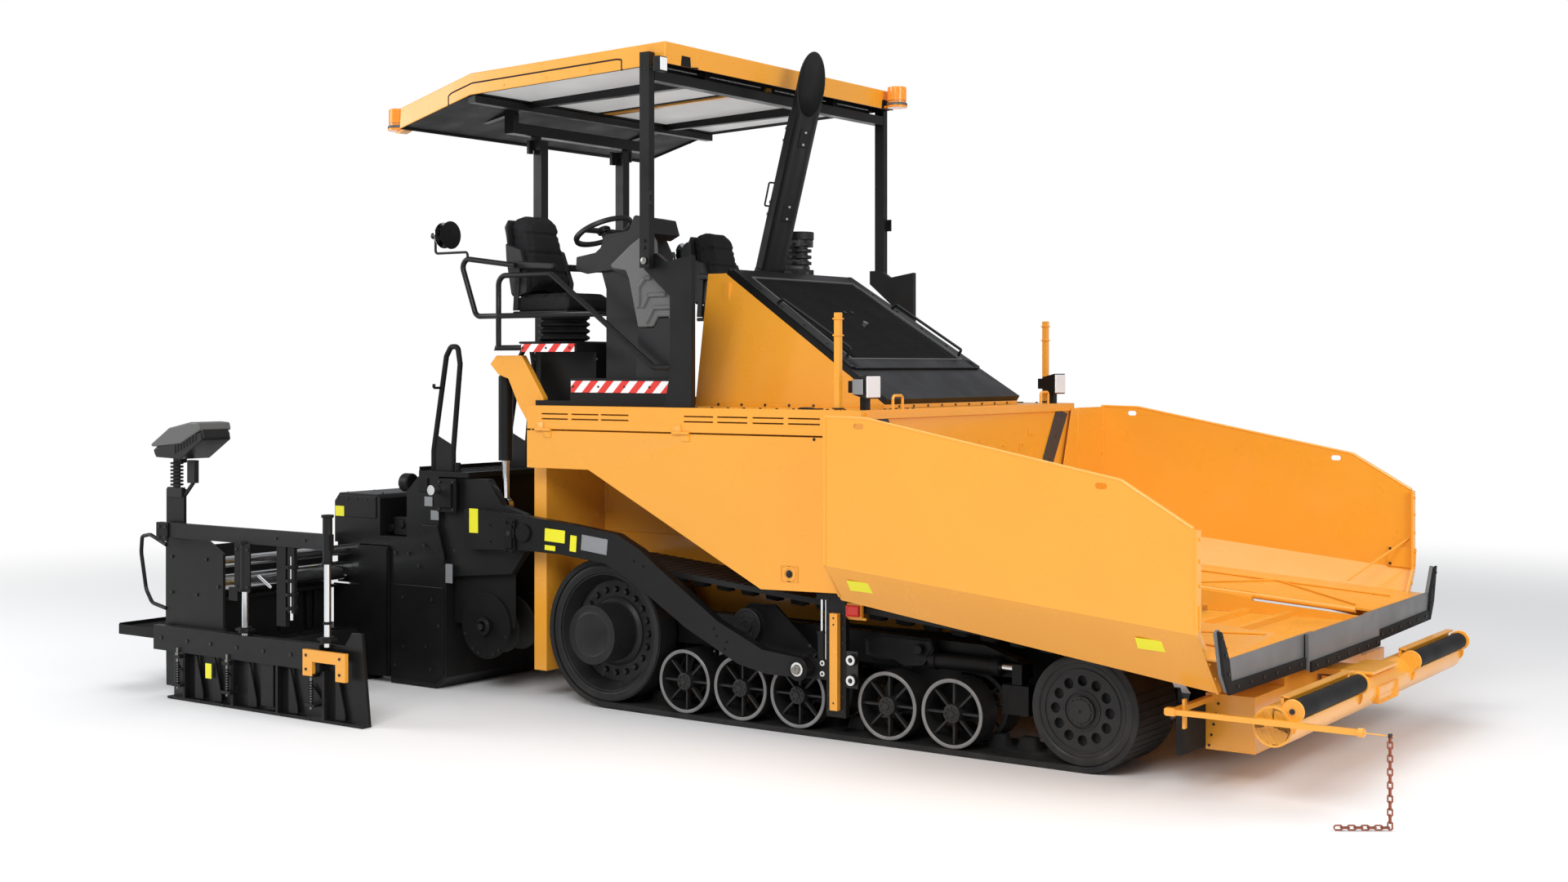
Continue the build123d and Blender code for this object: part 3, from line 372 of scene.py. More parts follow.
def make_dust_group():
    """Pale dust that settles on upward faces and low down, broken up by noise."""
    group, given, result = effect_group(
        "Settled dust", [("Colour", "Color", (1, 1, 1, 1)),
                         ("Dust colour", "Color", (0.42, 0.37, 0.3, 1)), ("Amount", "Float", 0.15),
                         ("Reach", "Float", 0.8)],
        [("Colour", "Color"), ("Mask", "Float")])
    place = add_node(group, "SeparateXYZ", [(0, given["Vector"])])
    facing = add_node(group, "NewGeometry")
    upward = add_node(group, "SeparateXYZ", [(0, facing.outputs["Normal"])])
    low = add_node(group, "MapRange", [(0, place.outputs["Z"]), ("From Max", given["Reach"])],
                   in_3=1.0, in_4=0.0, in_1=0.0)
    top = add_node(group, "MapRange", [(0, upward.outputs["Z"])], in_1=0.5, in_2=1.0, in_3=0.0, in_4=0.7)
    either = maths(group, "MAXIMUM", low, top)
    cloud = add_node(group, "TexNoise", [(0, given["Vector"])], in_Scale=7.0, in_Detail=8.0,
                     in_Roughness=0.65)
    broken = add_node(group, "MapRange", [(0, cloud)], in_1=0.35, in_2=0.7)
    mask = maths(group, "MULTIPLY", either, broken)
    amount = maths(group, "MULTIPLY", mask, given["Amount"], clamp=True)
    mix = mix_colours(group, amount, given["Colour"], given["Dust colour"])
    group.links.new(mix, result["Colour"])
    group.links.new(amount, result["Mask"])
    return group


def make_scuff_group():
    """Thin scratches and small chips that show a bare colour."""
    group, given, result = effect_group(
        "Scuffs", [("Colour", "Color", (1, 1, 1, 1)),
                   ("Bare colour", "Color", (0.3, 0.3, 0.3, 1)), ("Amount", "Float", 0.3)],
        [("Colour", "Color"), ("Mask", "Float")])
    stretched = add_node(group, "Mapping", [(0, given["Vector"])], in_3=(4.0, 4.0, 26.0))
    lines = add_node(group, "TexNoise", [(0, stretched)], in_Scale=9.0, in_Detail=6.0, in_Roughness=0.7)
    thin = add_node(group, "MapRange", [(0, lines)], in_1=0.66, in_2=0.72)
    chips = add_node(group, "TexNoise", [(0, given["Vector"])], in_Scale=55.0, in_Detail=3.0)
    spots = add_node(group, "MapRange", [(0, chips)], in_1=0.7, in_2=0.76)
    either = maths(group, "MAXIMUM", thin, spots)
    amount = maths(group, "MULTIPLY", either, given["Amount"], clamp=True)
    mix = mix_colours(group, amount, given["Colour"], given["Bare colour"])
    group.links.new(mix, result["Colour"])
    group.links.new(amount, result["Mask"])
    return group


def make_streak_group():
    """Fine lines along one axis, as on ground or drawn steel."""
    group, given, result = effect_group("Brushed streaks", [("Stretch", "Vector", (1, 60, 60))], [("Height", "Float")])
    drawn = add_node(group, "VectorMath", [(0, given["Vector"]), (1, given["Stretch"])],
                     operation="MULTIPLY")
    lines = add_node(group, "TexNoise", [(0, drawn)], in_Scale=12.0, in_Detail=4.0)
    group.links.new(lines.outputs[0], result["Height"])
    return group


def make_pebble_group():
    """Small raised pebbles, as on moulded plastic, cast iron or worn rubber."""
    group, given, result = effect_group("Pebbled surface", [("Scale", "Float", 300.0)], [("Height", "Float")])
    cells = add_node(group, "TexVoronoi", [(0, given["Vector"]), ("Scale", given["Scale"])])
    cloud = add_node(group, "TexNoise", [(0, given["Vector"])], in_Scale=60.0, in_Detail=4.0)
    both = maths(group, "ADD", cells, cloud)
    group.links.new(both, result["Height"])
    return group


def make_weave_group():
    """Crossed threads of seat cloth."""
    group, given, result = effect_group("Cloth weave", [("Scale", "Float", 260.0)], [("Height", "Float")])
    warp = add_node(group, "TexWave", [(0, given["Vector"]), ("Scale", given["Scale"])], bands_direction="Y")
    weft = add_node(group, "TexWave", [(0, given["Vector"]), ("Scale", given["Scale"])], bands_direction="X")
    both = maths(group, "MULTIPLY", warp.outputs[1], weft.outputs[1])
    group.links.new(both, result["Height"])
    return group


GRAINS = {"paint": (make_grain_group, {"Scale": 420.0}), "pebble": (make_pebble_group, {"Scale": 320.0}),
          "cast": (make_pebble_group, {"Scale": 90.0}), "weave": (make_weave_group, {"Scale": 260.0}),
          "streak": (make_streak_group, {}), "streak_up": (make_streak_group, {"Stretch": (60, 60, 1)}),
          "streak_across": (make_streak_group, {"Stretch": (60, 1, 60)})}
EFFECTS = {}


def effect(tree, maker, where, shown=None, **values):
    """One placed copy of an effect group, with the place and colour that go in and its own values."""
    if maker not in EFFECTS:
        EFFECTS[maker] = maker()
    node = tree.nodes.new("ShaderNodeGroup")
    node.node_tree = EFFECTS[maker]
    tree.links.new(where, node.inputs["Vector"])
    if shown:
        tree.links.new(shown, node.inputs["Colour"])
    for key, value in values.items():
        node.inputs[key.replace("_", " ")].default_value = value
    return node


COAT_ROUGHNESS = 0.12


def make_finish(name, colour, rough, metal, coat, grain, bump, drift, dust, bump_reach=0.4, drift_scale=2.0,
                dust_reach=0.8, scuff=0.0, bare=(0.3, 0.3, 0.3), rough_spread=0.08, pattern=None, glow=0.0, shine=0.5):
    """Finish of one kind of surface: colour, gloss, grain, dust and wear, all placed by Object coordinates."""
    material = bpy.data.materials.new(name)
    material.use_nodes = True
    tree = material.node_tree
    shader = tree.nodes["Principled BSDF"]
    where = tree.nodes.new("ShaderNodeTexCoord").outputs["Object"]
    drifted = effect(tree, make_drift_group, where, Scale=drift_scale, Amount=drift, Colour=(*colour, 1))
    shown = pattern(tree, where, drifted) if pattern else drifted.outputs["Colour"]
    if scuff:
        shown = effect(tree, make_scuff_group, where, shown, Amount=scuff, Bare_colour=(*bare, 1)).outputs["Colour"]
    dusty = effect(tree, make_dust_group, where, shown, Amount=dust, Reach=dust_reach)
    tree.links.new(dusty.outputs["Colour"], shader.inputs["Base Color"])
    cloud = add_node(tree, "TexNoise", [(0, where)], in_Scale=5.0, in_Detail=5.0)
    gloss = add_node(tree, "MapRange", [(0, cloud)], in_1=0.3, in_2=0.7,
                     in_3=max(rough - rough_spread, 0.03), in_4=min(rough + rough_spread, 1.0))
    duller = maths(tree, "MULTIPLY_ADD", dusty.outputs["Mask"], 0.4, gloss)
    tree.links.new(duller, shader.inputs["Roughness"])
    maker, values = GRAINS[grain]
    surface = effect(tree, maker, where, **values)
    raised = add_node(tree, "Bump", in_Strength=bump, in_Distance=bump_reach * MM)
    tree.links.new(surface.outputs["Height"], raised.inputs["Height"])
    tree.links.new(raised.outputs[0], shader.inputs["Normal"])
    plain = {"Metallic": metal, "Coat Weight": coat, "Coat Roughness": COAT_ROUGHNESS, "Specular IOR Level": shine}
    # glow adds emission in the finish's own colour; on the roof panels it is painted light shining through them
    if glow:
        plain |= {"Emission Color": (*colour, 1), "Emission Strength": glow}
    for label, value in plain.items():
        shader.inputs[label].default_value = value
    material.diffuse_color = (*colour, 1)
    FINISHES[name] = material


def hazard_stripes(tree, where, drifted):
    """Slanting red bars on white."""
    parts = add_node(tree, "SeparateXYZ", [(0, where)])
    slant = maths(tree, "SUBTRACT", parts.outputs["X"], parts.outputs["Z"])
    wide = maths(tree, "MULTIPLY", slant, 1 / 0.12)
    turn = maths(tree, "FRACT", wide)
    bar = maths(tree, "GREATER_THAN", turn, 0.5)
    return mix_colours(tree, bar, drifted.outputs["Colour"], (0.85, 0.85, 0.85, 1))


def grille_holes(tree, where, drifted):
    """Fine perforations of the hood's mesh, painted as near-black spots: painted shade seen through the holes."""
    level = add_node(tree, "Mapping", [(0, where)], in_2=(0, math.radians(LID_LEAN), 0))
    holes = add_node(tree, "TexVoronoi", [(0, level)], in_Scale=110.0, in_Randomness=0.0)
    edge = add_node(tree, "MapRange", [(0, holes)], in_1=0.3, in_2=0.42)
    # near-black holes: painted shade behind the mesh
    return mix_colours(tree, edge, (0.003, 0.003, 0.003, 1), drifted.outputs["Colour"])


def make_finishes(colours):
    yellow, black, rubber = tuple(colours.yellow), tuple(colours.black), tuple(colours.rubber)
    steel, amber, red = tuple(colours.steel), tuple(colours.amber), tuple(colours.stripe_red)
    # name, colour, roughness, metallic, coat, grain, bump, drift, dust; others
    for row, others in (
        (("yellow_enamel", yellow, 0.32, 0, 0.35, "paint", 0.04, 0.05, 0.06), dict(dust_reach=0.5)),
        (("black_enamel", black, 0.38, 0, 0.04, "paint", 0.06, 0.25, 0.015),
         dict(scuff=0.15, bare=(0.05, 0.05, 0.052), shine=0.22)),
        (("black_satin", tuple(c * 0.7 for c in black), 0.5, 0, 0, "paint", 0.12, 0.3, 0.015), dict(shine=0.2)),
        (("track_rubber", rubber, 0.62, 0, 0, "cast", 0.25, 0.3, 0.04),
         dict(scuff=0.25, bare=(0.05, 0.049, 0.047), shine=0.25)),
        (("soft_rubber", tuple(c * 0.7 for c in rubber), 0.7, 0, 0, "pebble", 0.2, 0.1, 0.03), dict(shine=0.2)),
        (("wheel_black", tuple(c * 2 for c in black), 0.42, 0, 0, "cast", 0.12, 0.3, 0.04),
         dict(scuff=0.3, bare=(0.07, 0.07, 0.07), shine=0.3)),
        (("worn_rim", (0.2, 0.2, 0.2), 0.5, 0.4, 0, "cast", 0.2, 0.5, 0.2), dict(drift_scale=9.0)),
        (("cast_iron", (0.12, 0.115, 0.11), 0.6, 0.6, 0, "cast", 0.3, 0.1, 0.2), {}),
        (("ground_steel", steel, 0.22, 1, 0, "streak_up", 0.05, 0.1, 0.02), {}),
        (("chrome_rod", (0.72, 0.73, 0.74), 0.12, 1, 0, "streak_across", 0.03, 0.1, 0), {}),
        (("zinc_bolt", (0.28, 0.27, 0.25), 0.35, 0.9, 0, "pebble", 0.05, 0.1, 0.05), {}),
        (("grey_plastic", (0.1, 0.1, 0.098), 0.5, 0, 0, "pebble", 0.12, 0.1, 0.03), {}),
        (("dark_plastic", (0.011, 0.011, 0.012), 0.45, 0, 0, "pebble", 0.12, 0.15, 0.02), dict(shine=0.3)),
        (("intake_grey", (0.05, 0.05, 0.051), 0.55, 0, 0, "pebble", 0.2, 0.2, 0.03), {}),
        (("seat_cloth", (0.012, 0.012, 0.013), 0.85, 0, 0, "weave", 0.35, 0.1, 0.02),
         dict(bump_reach=0.8, shine=0.25)),
        (("seat_vinyl", (0.013, 0.013, 0.014), 0.48, 0, 0, "pebble", 0.3, 0.1, 0.02), dict(shine=0.3)),
        (("amber_lens", amber, 0.2, 0, 0.3, "pebble", 0.05, 0.05, 0.02), dict(glow=0.04)),
        (("lamp_lens", (0.82, 0.83, 0.84), 0.12, 0, 0.5, "pebble", 0.1, 0.1, 0.02), {}),
        # this finish glows (glow=0.62): painted light standing for daylight shining through the translucent roof
        # panels
        (("glowing_roof_panel", (0.42, 0.42, 0.415), 0.45, 0, 0, "pebble", 0.06, 0.12, 0), dict(glow=0.62)),
        (("stripe_sheet", red, 0.35, 0, 0, "paint", 0.03, 0.05, 0.04), dict(pattern=hazard_stripes)),
        (("plate_yellow", (0.85, 0.8, 0.02), 0.4, 0, 0, "paint", 0.03, 0.04, 0.03), {}),
        (("plate_grey", (0.3, 0.31, 0.32), 0.4, 0.5, 0, "paint", 0.03, 0.04, 0.03), {}),
        (("hood_mesh", (0.006, 0.006, 0.006), 0.7, 0, 0, "pebble", 0.2, 0.2, 0.005),
         dict(pattern=grille_holes, shine=0.1)),
        (("rusty_link", (0.3, 0.09, 0.05), 0.6, 0.4, 0, "cast", 0.3, 0.5, 0), dict(drift_scale=30.0)),
        (("red_plastic", (0.6, 0.03, 0.02), 0.35, 0, 0, "pebble", 0.08, 0.1, 0.02), {}),
        (("white_plastic", (0.75, 0.75, 0.74), 0.4, 0, 0, "pebble", 0.08, 0.1, 0.03), {}),
        (("mirror_glass", (0.75, 0.77, 0.78), 0.04, 1, 0, "paint", 0, 0.1, 0), dict(rough_spread=0.01)),
        (("dark_bolt", (0.022, 0.022, 0.022), 0.42, 0.3, 0, "pebble", 0.08, 0.1, 0.02), {}),
        (("dark_iron", (0.014, 0.014, 0.013), 0.55, 0.2, 0, "cast", 0.3, 0.1, 0.03), {}),
        (("grey_rubber", (0.035, 0.035, 0.036), 0.6, 0, 0, "pebble", 0.2, 0.2, 0.08), {}),
        (("apron_sheet", (0.13, 0.132, 0.135), 0.42, 0, 0, "pebble", 0.12, 0.35, 0.1),
         dict(drift_scale=1.2, dust_reach=0.9, scuff=0.2, bare=(0.3, 0.3, 0.3))),
        # near-black finish: real soot inside the exhaust stack, and painted shade inside the stack and in the deck's
        # vent slots
        (("soot", (0.004, 0.004, 0.004), 0.9, 0, 0, "pebble", 0.1, 0.1, 0), {}),
        (("screen_glass", (0.01, 0.012, 0.014), 0.1, 0, 0.6, "paint", 0, 0.1, 0), {}),
    ):
        make_finish(*row, **others)


# Settings

class PaverColours(PropertyGroup):
    """Colours of the machine's main finishes."""
    yellow: FloatVectorProperty(name="Yellow paint", description="Main body paint", subtype="COLOR", size=3,
                                default=(0.84, 0.36, 0.03), min=0, max=1)
    black: FloatVectorProperty(name="Black paint", description="Frame and screed paint", subtype="COLOR", size=3,
                               default=(0.0075, 0.0075, 0.0078), min=0, max=1)
    rubber: FloatVectorProperty(name="Rubber", description="Track belts and flaps", subtype="COLOR", size=3,
                                default=(0.014, 0.014, 0.0145), min=0, max=1)
    steel: FloatVectorProperty(name="Steel", description="Bare steel rods and tubes", subtype="COLOR", size=3,
                               default=(0.55, 0.55, 0.55), min=0, max=1)
    amber: FloatVectorProperty(name="Beacon amber", description="Lens of the beacons", subtype="COLOR", size=3,
                               default=(1.0, 0.3, 0.012), min=0, max=1)
    stripe_red: FloatVectorProperty(name="Stripe red", description="Red of the hazard strips", subtype="COLOR",
                                    size=3, default=(0.7, 0.03, 0.02), min=0, max=1)


class PaverSizes(PropertyGroup):
    """Sizes of the small pieces, and the camera's lens."""
    edge_rounding: FloatProperty(name="Edge rounding", description="Rounding of all edges, 1 as built",
                                 subtype="FACTOR", default=1.0, min=0.2, max=2)
    bolt_heads: FloatProperty(name="Bolt heads", description="Size of all bolt heads, 1 as built",
                              subtype="FACTOR", default=1.0, min=0.5, max=1.5)
    tread_bars: IntProperty(name="Tread bars", description="Bars round the outside of each track", default=96,
                            min=24, max=160)
    camera_lens: FloatProperty(name="Camera lens", description="Focal length of the camera", unit="CAMERA",
                               default=43.24, min=20, max=120)


def sizes():
    return bpy.context.scene.paver_sizes


# Painted shells

TRACTOR_SKINS = [
    # node, finish, edge rounding
    ("chassis", "yellow_enamel", 3), ("engine_bay", "yellow_enamel", 3), ("hopper_bed", "yellow_enamel", 3),
    ("lifting_loops", "yellow_enamel", 0), ("deck", "yellow_enamel", 3), ("hood", "yellow_enamel", 6),
    ("side_door_right", "yellow_enamel", 4), ("side_door_left", "yellow_enamel", 4),
    ("hood_lid", "black_enamel", 6), ("front_apron", "apron_sheet", 3), ("lift_brackets", "yellow_enamel", 4),
    ("platform", "black_satin", 3), ("platform_rails", "black_enamel", 0), ("canopy_brackets", "black_enamel", 4),
    ("console", "dark_plastic", 8), ("engine", "cast_iron", 10),
    ("conveyor", "ground_steel", 2), ("mud_flaps", "soft_rubber", 3), ("tow_guides", "black_enamel", 3),
    ("auger_drive", "black_enamel", 4), ("headlights", "black_enamel", 6),
    ("air_intake", "dark_plastic", 4),
    ("steering_guide", "yellow_enamel", 2), ("guide_chain", "rusty_link", 0),
]
UNDER_SKINS = [
    ("track_frames", "black_satin", 4), ("drive_wheels", "wheel_black", 4), ("idler_wheels", "wheel_black", 4),
    ("road_wheels", "wheel_black", 2), ("track_right", "track_rubber", 0), ("track_left", "track_rubber", 0),
]
HOPPER_SKINS = [
    ("hopper_wing_right", "yellow_enamel", 4), ("hopper_wing_left", "yellow_enamel", 4),
    ("apron_right", "apron_sheet", 4), ("apron_left", "apron_sheet", 4),
    ("push_beam", "yellow_enamel", 4), ("push_rollers", "soft_rubber", 4),
]
SCREED_SKINS = [
    ("tow_arms", "black_enamel", 5), ("screed_frame", "black_enamel", 5), ("screed_walkway", "black_satin", 3),
    ("extension_right", "black_enamel", 4), ("extension_left", "black_enamel", 4),
    ("end_gate_right", "black_enamel", 4), ("end_gate_left", "black_enamel", 4),
    ("control_box_right", "dark_plastic", 10), ("control_box_left", "dark_plastic", 10),
    ("auger_right", "dark_iron", 3), ("auger_left", "dark_iron", 3),
    ("lift_barrel_right", "black_enamel", 3), ("lift_barrel_left", "black_enamel", 3),
    ("lift_rod_right", "chrome_rod", 1), ("lift_rod_left", "chrome_rod", 1),
]
CANOPY_SKINS = [
    ("canopy_roof", "yellow_enamel", 8), ("canopy_frame", "black_enamel", 4), ("front_posts", "black_enamel", 5),
    ("rear_posts", "black_enamel", 5), ("beacons", "amber_lens", 4), ("steering_wheel", "dark_plastic", 8),
]


class PAVER_OT_finishes(Operator):
    """Make every finish used on the machine"""
    bl_idname = "paver.finishes"
    bl_label = "Finishes"

    def execute(self, context):
        make_finishes(context.scene.paver_colours)
        return {"FINISHED"}


def near_tube(x, z, tube_x, tube_z, radius):
    return (x - tube_x) ** 2 + (z - tube_z) ** 2 < radius ** 2


ROOF_KINK, ROOF_REAR = -1886, -2502


def under_roof(x, y, z):
    """Whether a place lies on the underside or the inner rim of the roof."""
    top = 3862 + (x - ROOF_KINK) * 0.0322 if x > ROOF_KINK else 3694 + (x - ROOF_REAR) * 0.2727
    return z < top - 8 and abs(y) < 1232 and ROOF_REAR + 7 < x < -343


class PAVER_OT_shells(Operator):
    """Dress the painted shells, wheels and frames with finishes and rounded edges"""
    bl_idname = "paver.shells"
    bl_label = "Shells"

    def execute(self, context):
        for table in (TRACTOR_SKINS, UNDER_SKINS, HOPPER_SKINS, SCREED_SKINS, CANOPY_SKINS):
            for node, finish, edge in table:
                dress(node, finish, edge)
        for side, _ in SIDES:
            repaint(f"extension_{side}", "chrome_rod", lambda x, y, z: near_tube(x, z, -3000, 705, 61)
                    or near_tube(x, z, -2960, 840, 35))
            repaint(f"end_gate_{side}", "yellow_enamel", lambda x, y, z: abs(y) > 2425.5)
            repaint(f"end_gate_{side}", "chrome_rod", lambda x, y, z: z > 440.5)
        for vert in bpy.data.objects["headlights_skin"].data.vertices:
            x, y, z = vert.co / MM
            if x < 902 and z > 1855 and abs(y) < 1195:
                vert.co = point(x, y + (1116 - abs(y)) * 0.35 * (1 if y > 0 else -1), z + (1925 - z) * 0.35)
        repaint("canopy_roof", "black_satin", under_roof)
        repaint("conveyor", "yellow_enamel", lambda x, y, z: x > 2250)
        repaint("headlights", "yellow_enamel", lambda x, y, z: abs(y) > 1205.5 and x < 863)
        repaint("tow_guides", "yellow_enamel", lambda x, y, z: abs(y) > 1210.5 and 799 < x < 851)
        repaint("tow_guides", "zinc_bolt", lambda x, y, z: z < 420 and abs(y) > 1210.5 and x < 700)
        return {"FINISHED"}


# Detail

def slab(bm, centre, facing, along, size):
    """Turned box: size is (length along, height, thickness), with its back face centred on a point."""
    normal = Vector(facing).normalized()
    run = (Vector(along) - normal * Vector(along).dot(normal)).normalized()
    turn = Matrix((run, normal.cross(run), normal)).transposed().to_4x4()
    middle = point(*centre) + normal * size[2] / 2 * MM
    scale = Matrix.Diagonal((size[0] * MM, size[1] * MM, size[2] * MM, 1))
    return bmesh.ops.create_cube(bm, size=1, matrix=Matrix.Translation(middle) @ turn @ scale)["verts"]


def ring(bm, centre, axis, inner, outer, thick, steps=32):
    """Flat ring standing on a surface along an axis."""
    turned(bm, [(inner, 0), (outer, 0), (outer, thick), (inner, thick)], centre, axis, steps)


def bolt_ring(bm, centre, reach, count, axis, radius, height, start=0.0):
    """Bolt heads on a circle whose axis runs across the machine."""
    for step in range(count):
        turn = start + 2 * math.pi * step / count
        spot = (centre[0] + reach * math.cos(turn), centre[1], centre[2] + reach * math.sin(turn))
        bolt(bm, spot, axis, radius, height)


def cut_plate(bm, outline, low, high, rim, depth):
    """Upright plate along the machine whose outer face is sunk inside a rim."""
    before = set(bm.faces)
    plate(bm, outline, "y", low, high)
    faces = [f for f in bm.faces if f not in before and all(abs(v.co.y - high * MM) < 1e-6 for v in f.verts)]
    bmesh.ops.recalc_face_normals(bm, faces=[f for f in bm.faces if f not in before])
    bmesh.ops.inset_region(bm, faces=faces, thickness=rim * MM, depth=-depth * MM)


WHEEL_FACE = -1141.5
ROAD_WHEELS = (-270, 129, 523, 1105, 1504)
ROAD_WHEEL_Z = 215
# Axles and pins, as places (x, z)
DRIVE, IDLER, PULLEY = (-860, 450), (2256, 310), (148, 569)
TOW_PIN, AUGER = (617, 385), (-1800, 420)
BELT_MIDDLE = -925
SIDE_FACE = -1275  # outer face of the tow arms and the side doors
SEAT_MIDDLE = -930


def drive_wheel_dishes(bm):
    spot = at(DRIVE, WHEEL_FACE)
    turned(bm, [(356, 0), (404, 0), (404, 6), (394, 11), (366, 11), (356, 6)], spot, OUT, 72)
    turned(bm, [(354, -2), (312, -88), (302, -88), (344, -2)], spot, OUT, 72)
    turned(bm, [(174, -96), (208, -96), (208, -84), (188, -66), (174, -66)], spot, OUT, 48)
    turned(bm, [(0, 134), (120, 134), (128, 138), (136, 134), (150, 134), (150, 130), (0, 130)], spot, OUT, 48)


def drive_wheel_bolts(bm):
    bolt_ring(bm, at(DRIVE, -1040), 250, 20, OUT, 15, 26)


def road_wheel_rims(bm):
    for x in ROAD_WHEELS:
        turned(bm, [(163.5, 0), (184, 0), (184, 2), (180, 5), (168, 5), (163.5, 2)],
                   (x, WHEEL_FACE, ROAD_WHEEL_Z), OUT, 48)


def road_wheel_hubs(bm):
    for x in ROAD_WHEELS:
        spot = (x, WHEEL_FACE, ROAD_WHEEL_Z)
        turned(bm, [(0, 0), (49, 0), (49, 7), (44, 10), (22, 10), (18, 17), (0, 18)], spot, OUT, 32)
        bolt_ring(bm, (x, WHEEL_FACE - 9, ROAD_WHEEL_Z), 34, 8, OUT, 6, 7)


def idler_rings(bm):
    spot = at(IDLER, WHEEL_FACE)
    turned(bm, [(236, 0), (278, 0), (278, 6), (270, 10), (244, 10), (236, 4)], spot, OUT, 64)
    ring(bm, spot, OUT, 205, 212, 6, 64)
    ring(bm, spot, OUT, 92, 100, 8, 48)
    turned(bm, [(0, 25), (58, 25), (62, 29), (58, 33), (0, 33)], spot, OUT, 32)


def idler_bolts(bm):
    bolt_ring(bm, at(IDLER, WHEEL_FACE - 25), 66, 8, OUT, 6, 6)
    rod(bm, at(IDLER, WHEEL_FACE - 33), at(IDLER, WHEEL_FACE - 44), 7, 4, 12)


def belt_pulleys(bm):
    turned(bm, [(0, 0), (26, 0), (26, 8), (38, 8), (40, -6), (78, -6), (84, 0), (95, 0), (97, -4), (92, -24),
                    (92, -34), (97, -52), (0, -52)], at(PULLEY, -1110), OUT, 40)
    rod(bm, at(PULLEY, -1060), at(PULLEY, -955), 32)
    bolt_ring(bm, at(PULLEY, -1104), 58, 4, OUT, 11, 7, 0.6)


def pulley_guards(bm):
    cut_plate(bm, [(92, 655), (148, 690), (320, 692), (610, 448), (575, 396), (480, 384), (330, 420), (96, 468)],
                  -1052, -1074, 24, 12)
    rod(bm, (560, -1064, 420), (560, -955, 420), 26)


def bogie_brackets(bm):
    cut_plate(bm, [(911, 462), (905, 548), (1000, 588), (1324, 580), (1342, 520), (1275, 436), (1160, 420),
                       (1090, 452), (1000, 446)], -1010, -1052, 22, 14)
    rod(bm, (1150, -1030, 510), (1150, -955, 510), 48)
    turned(bm, [(0, 0), (26, 0), (30, 6), (26, 18), (0, 20)], (1250, -1052, 520), OUT, 24)
    plate(bm, [(-90, 452), (-70, 520), (60, 545), (330, 540), (350, 470), (250, 430), (20, 430)], "y", -970, -1000)


def belt_tensioners(bm):
    rod(bm, (1300, -1000, 464), (1720, -1000, 464), 44)
    ring(bm, (1300, -1000, 464), (1, 0, 0), 20, 52, 40)
    ring(bm, (1680, -1000, 464), (1, 0, 0), 20, 52, 44)
    boxes(bm, (1745, 1902, -1040, -955, 224, 380), (1800, 1860, -1035, -955, 380, 490))


def tensioner_rods(bm):
    rod(bm, (1720, -1000, 464), (1830, -1000, 464), 24)


def belt_pads(bm):
    """Low cleats across the belt's outer face, along the upper straight run and round the ends."""
    count = sizes().tread_bars
    circles = ((DRIVE[0], DRIVE[1], 440), (IDLER[0], IDLER[1], 310))
    span = Vector((circles[1][0] - circles[0][0], circles[1][1] - circles[0][1]))
    lean = math.atan2(span.y, span.x)
    spread = math.asin((circles[0][2] - circles[1][2]) / span.length)
    top = lean + math.pi / 2 - spread
    spots = []
    for step in range(count // 3):
        turn = top + (3 * math.pi / 2 - 0.06 - top) * step / (count // 3)
        spots.append((circles[0], turn))
    for step in range(count // 4):
        turn = -math.pi / 2 + (top + math.pi / 2) * (step + 0.5) / (count // 4)
        spots.append((circles[1], turn))
    for (x, z, radius), turn in spots:
        out = (math.cos(turn), 0, math.sin(turn))
        spot = (x + radius * out[0], BELT_MIDDLE, z + radius * out[2])
        slab(bm, spot, out, (0, 1, 0), (451, 34, 2.2))
    run_start = Vector((circles[0][0], circles[0][1])) + Vector((math.cos(top), math.sin(top))) * circles[0][2]
    run_end = Vector((circles[1][0], circles[1][1])) + Vector((math.cos(top), math.sin(top))) * circles[1][2]
    for step in range(1, count // 2):
        spot = run_start.lerp(run_end, step / (count // 2))
        slab(bm, (spot.x, BELT_MIDDLE, spot.y), (math.cos(top), 0, math.sin(top)), (0, 1, 0), (451, 34, 2.2))


class PAVER_OT_undercarriage(Operator):
    """Fit rims, hubs, bolts, tensioners and guards inside the tracks"""
    bl_idname = "paver.undercarriage"
    bl_label = "Undercarriage"

    def execute(self, context):
        build_both(drive_wheel_dishes, "wheel_black", 1.5)
        build_both(drive_wheel_bolts, "dark_bolt", 1.5)
        build_both(road_wheel_rims, "worn_rim", 0.8)
        build_both(road_wheel_hubs, "wheel_black", 1)
        build_both(idler_rings, "wheel_black", 1.2)
        build_both(idler_bolts, "dark_bolt", 0.8)
        build_both(belt_pulleys, "wheel_black", 1.5)
        build_both(pulley_guards, "black_satin", 3)
        build_both(bogie_brackets, "black_satin", 4)
        build_both(belt_tensioners, "black_satin", 4)
        build_both(tensioner_rods, "chrome_rod", 1)
        build_both(belt_pads, "track_rubber")
        return {"FINISHED"}


def arm_yellow_plates(bm):
    for x, z, long, tall in ((-1150, 1021, 160, 76), (-1188, 946, 84, 30), (-1820, 1080, 74, 150)):
        slab(bm, (x, SIDE_FACE, z), OUT, (1, 0, -0.05 if x > -1700 else 0), (long, tall, 1.6))


def arm_slim_plates(bm):
    slab(bm, (-1004, SIDE_FACE, 982), OUT, (1, 0, -0.08), (50, 96, 1.6))


def arm_grey_plates(bm):
    slab(bm, (-840, SIDE_FACE, 984), OUT, (1, 0, -0.1), (200, 92, 1.6))
    for x in (-930, -750):
        for z in (1020, 950):
            rod(bm, (x, -1276, z), (x, -1279, z), 4, sides=10)


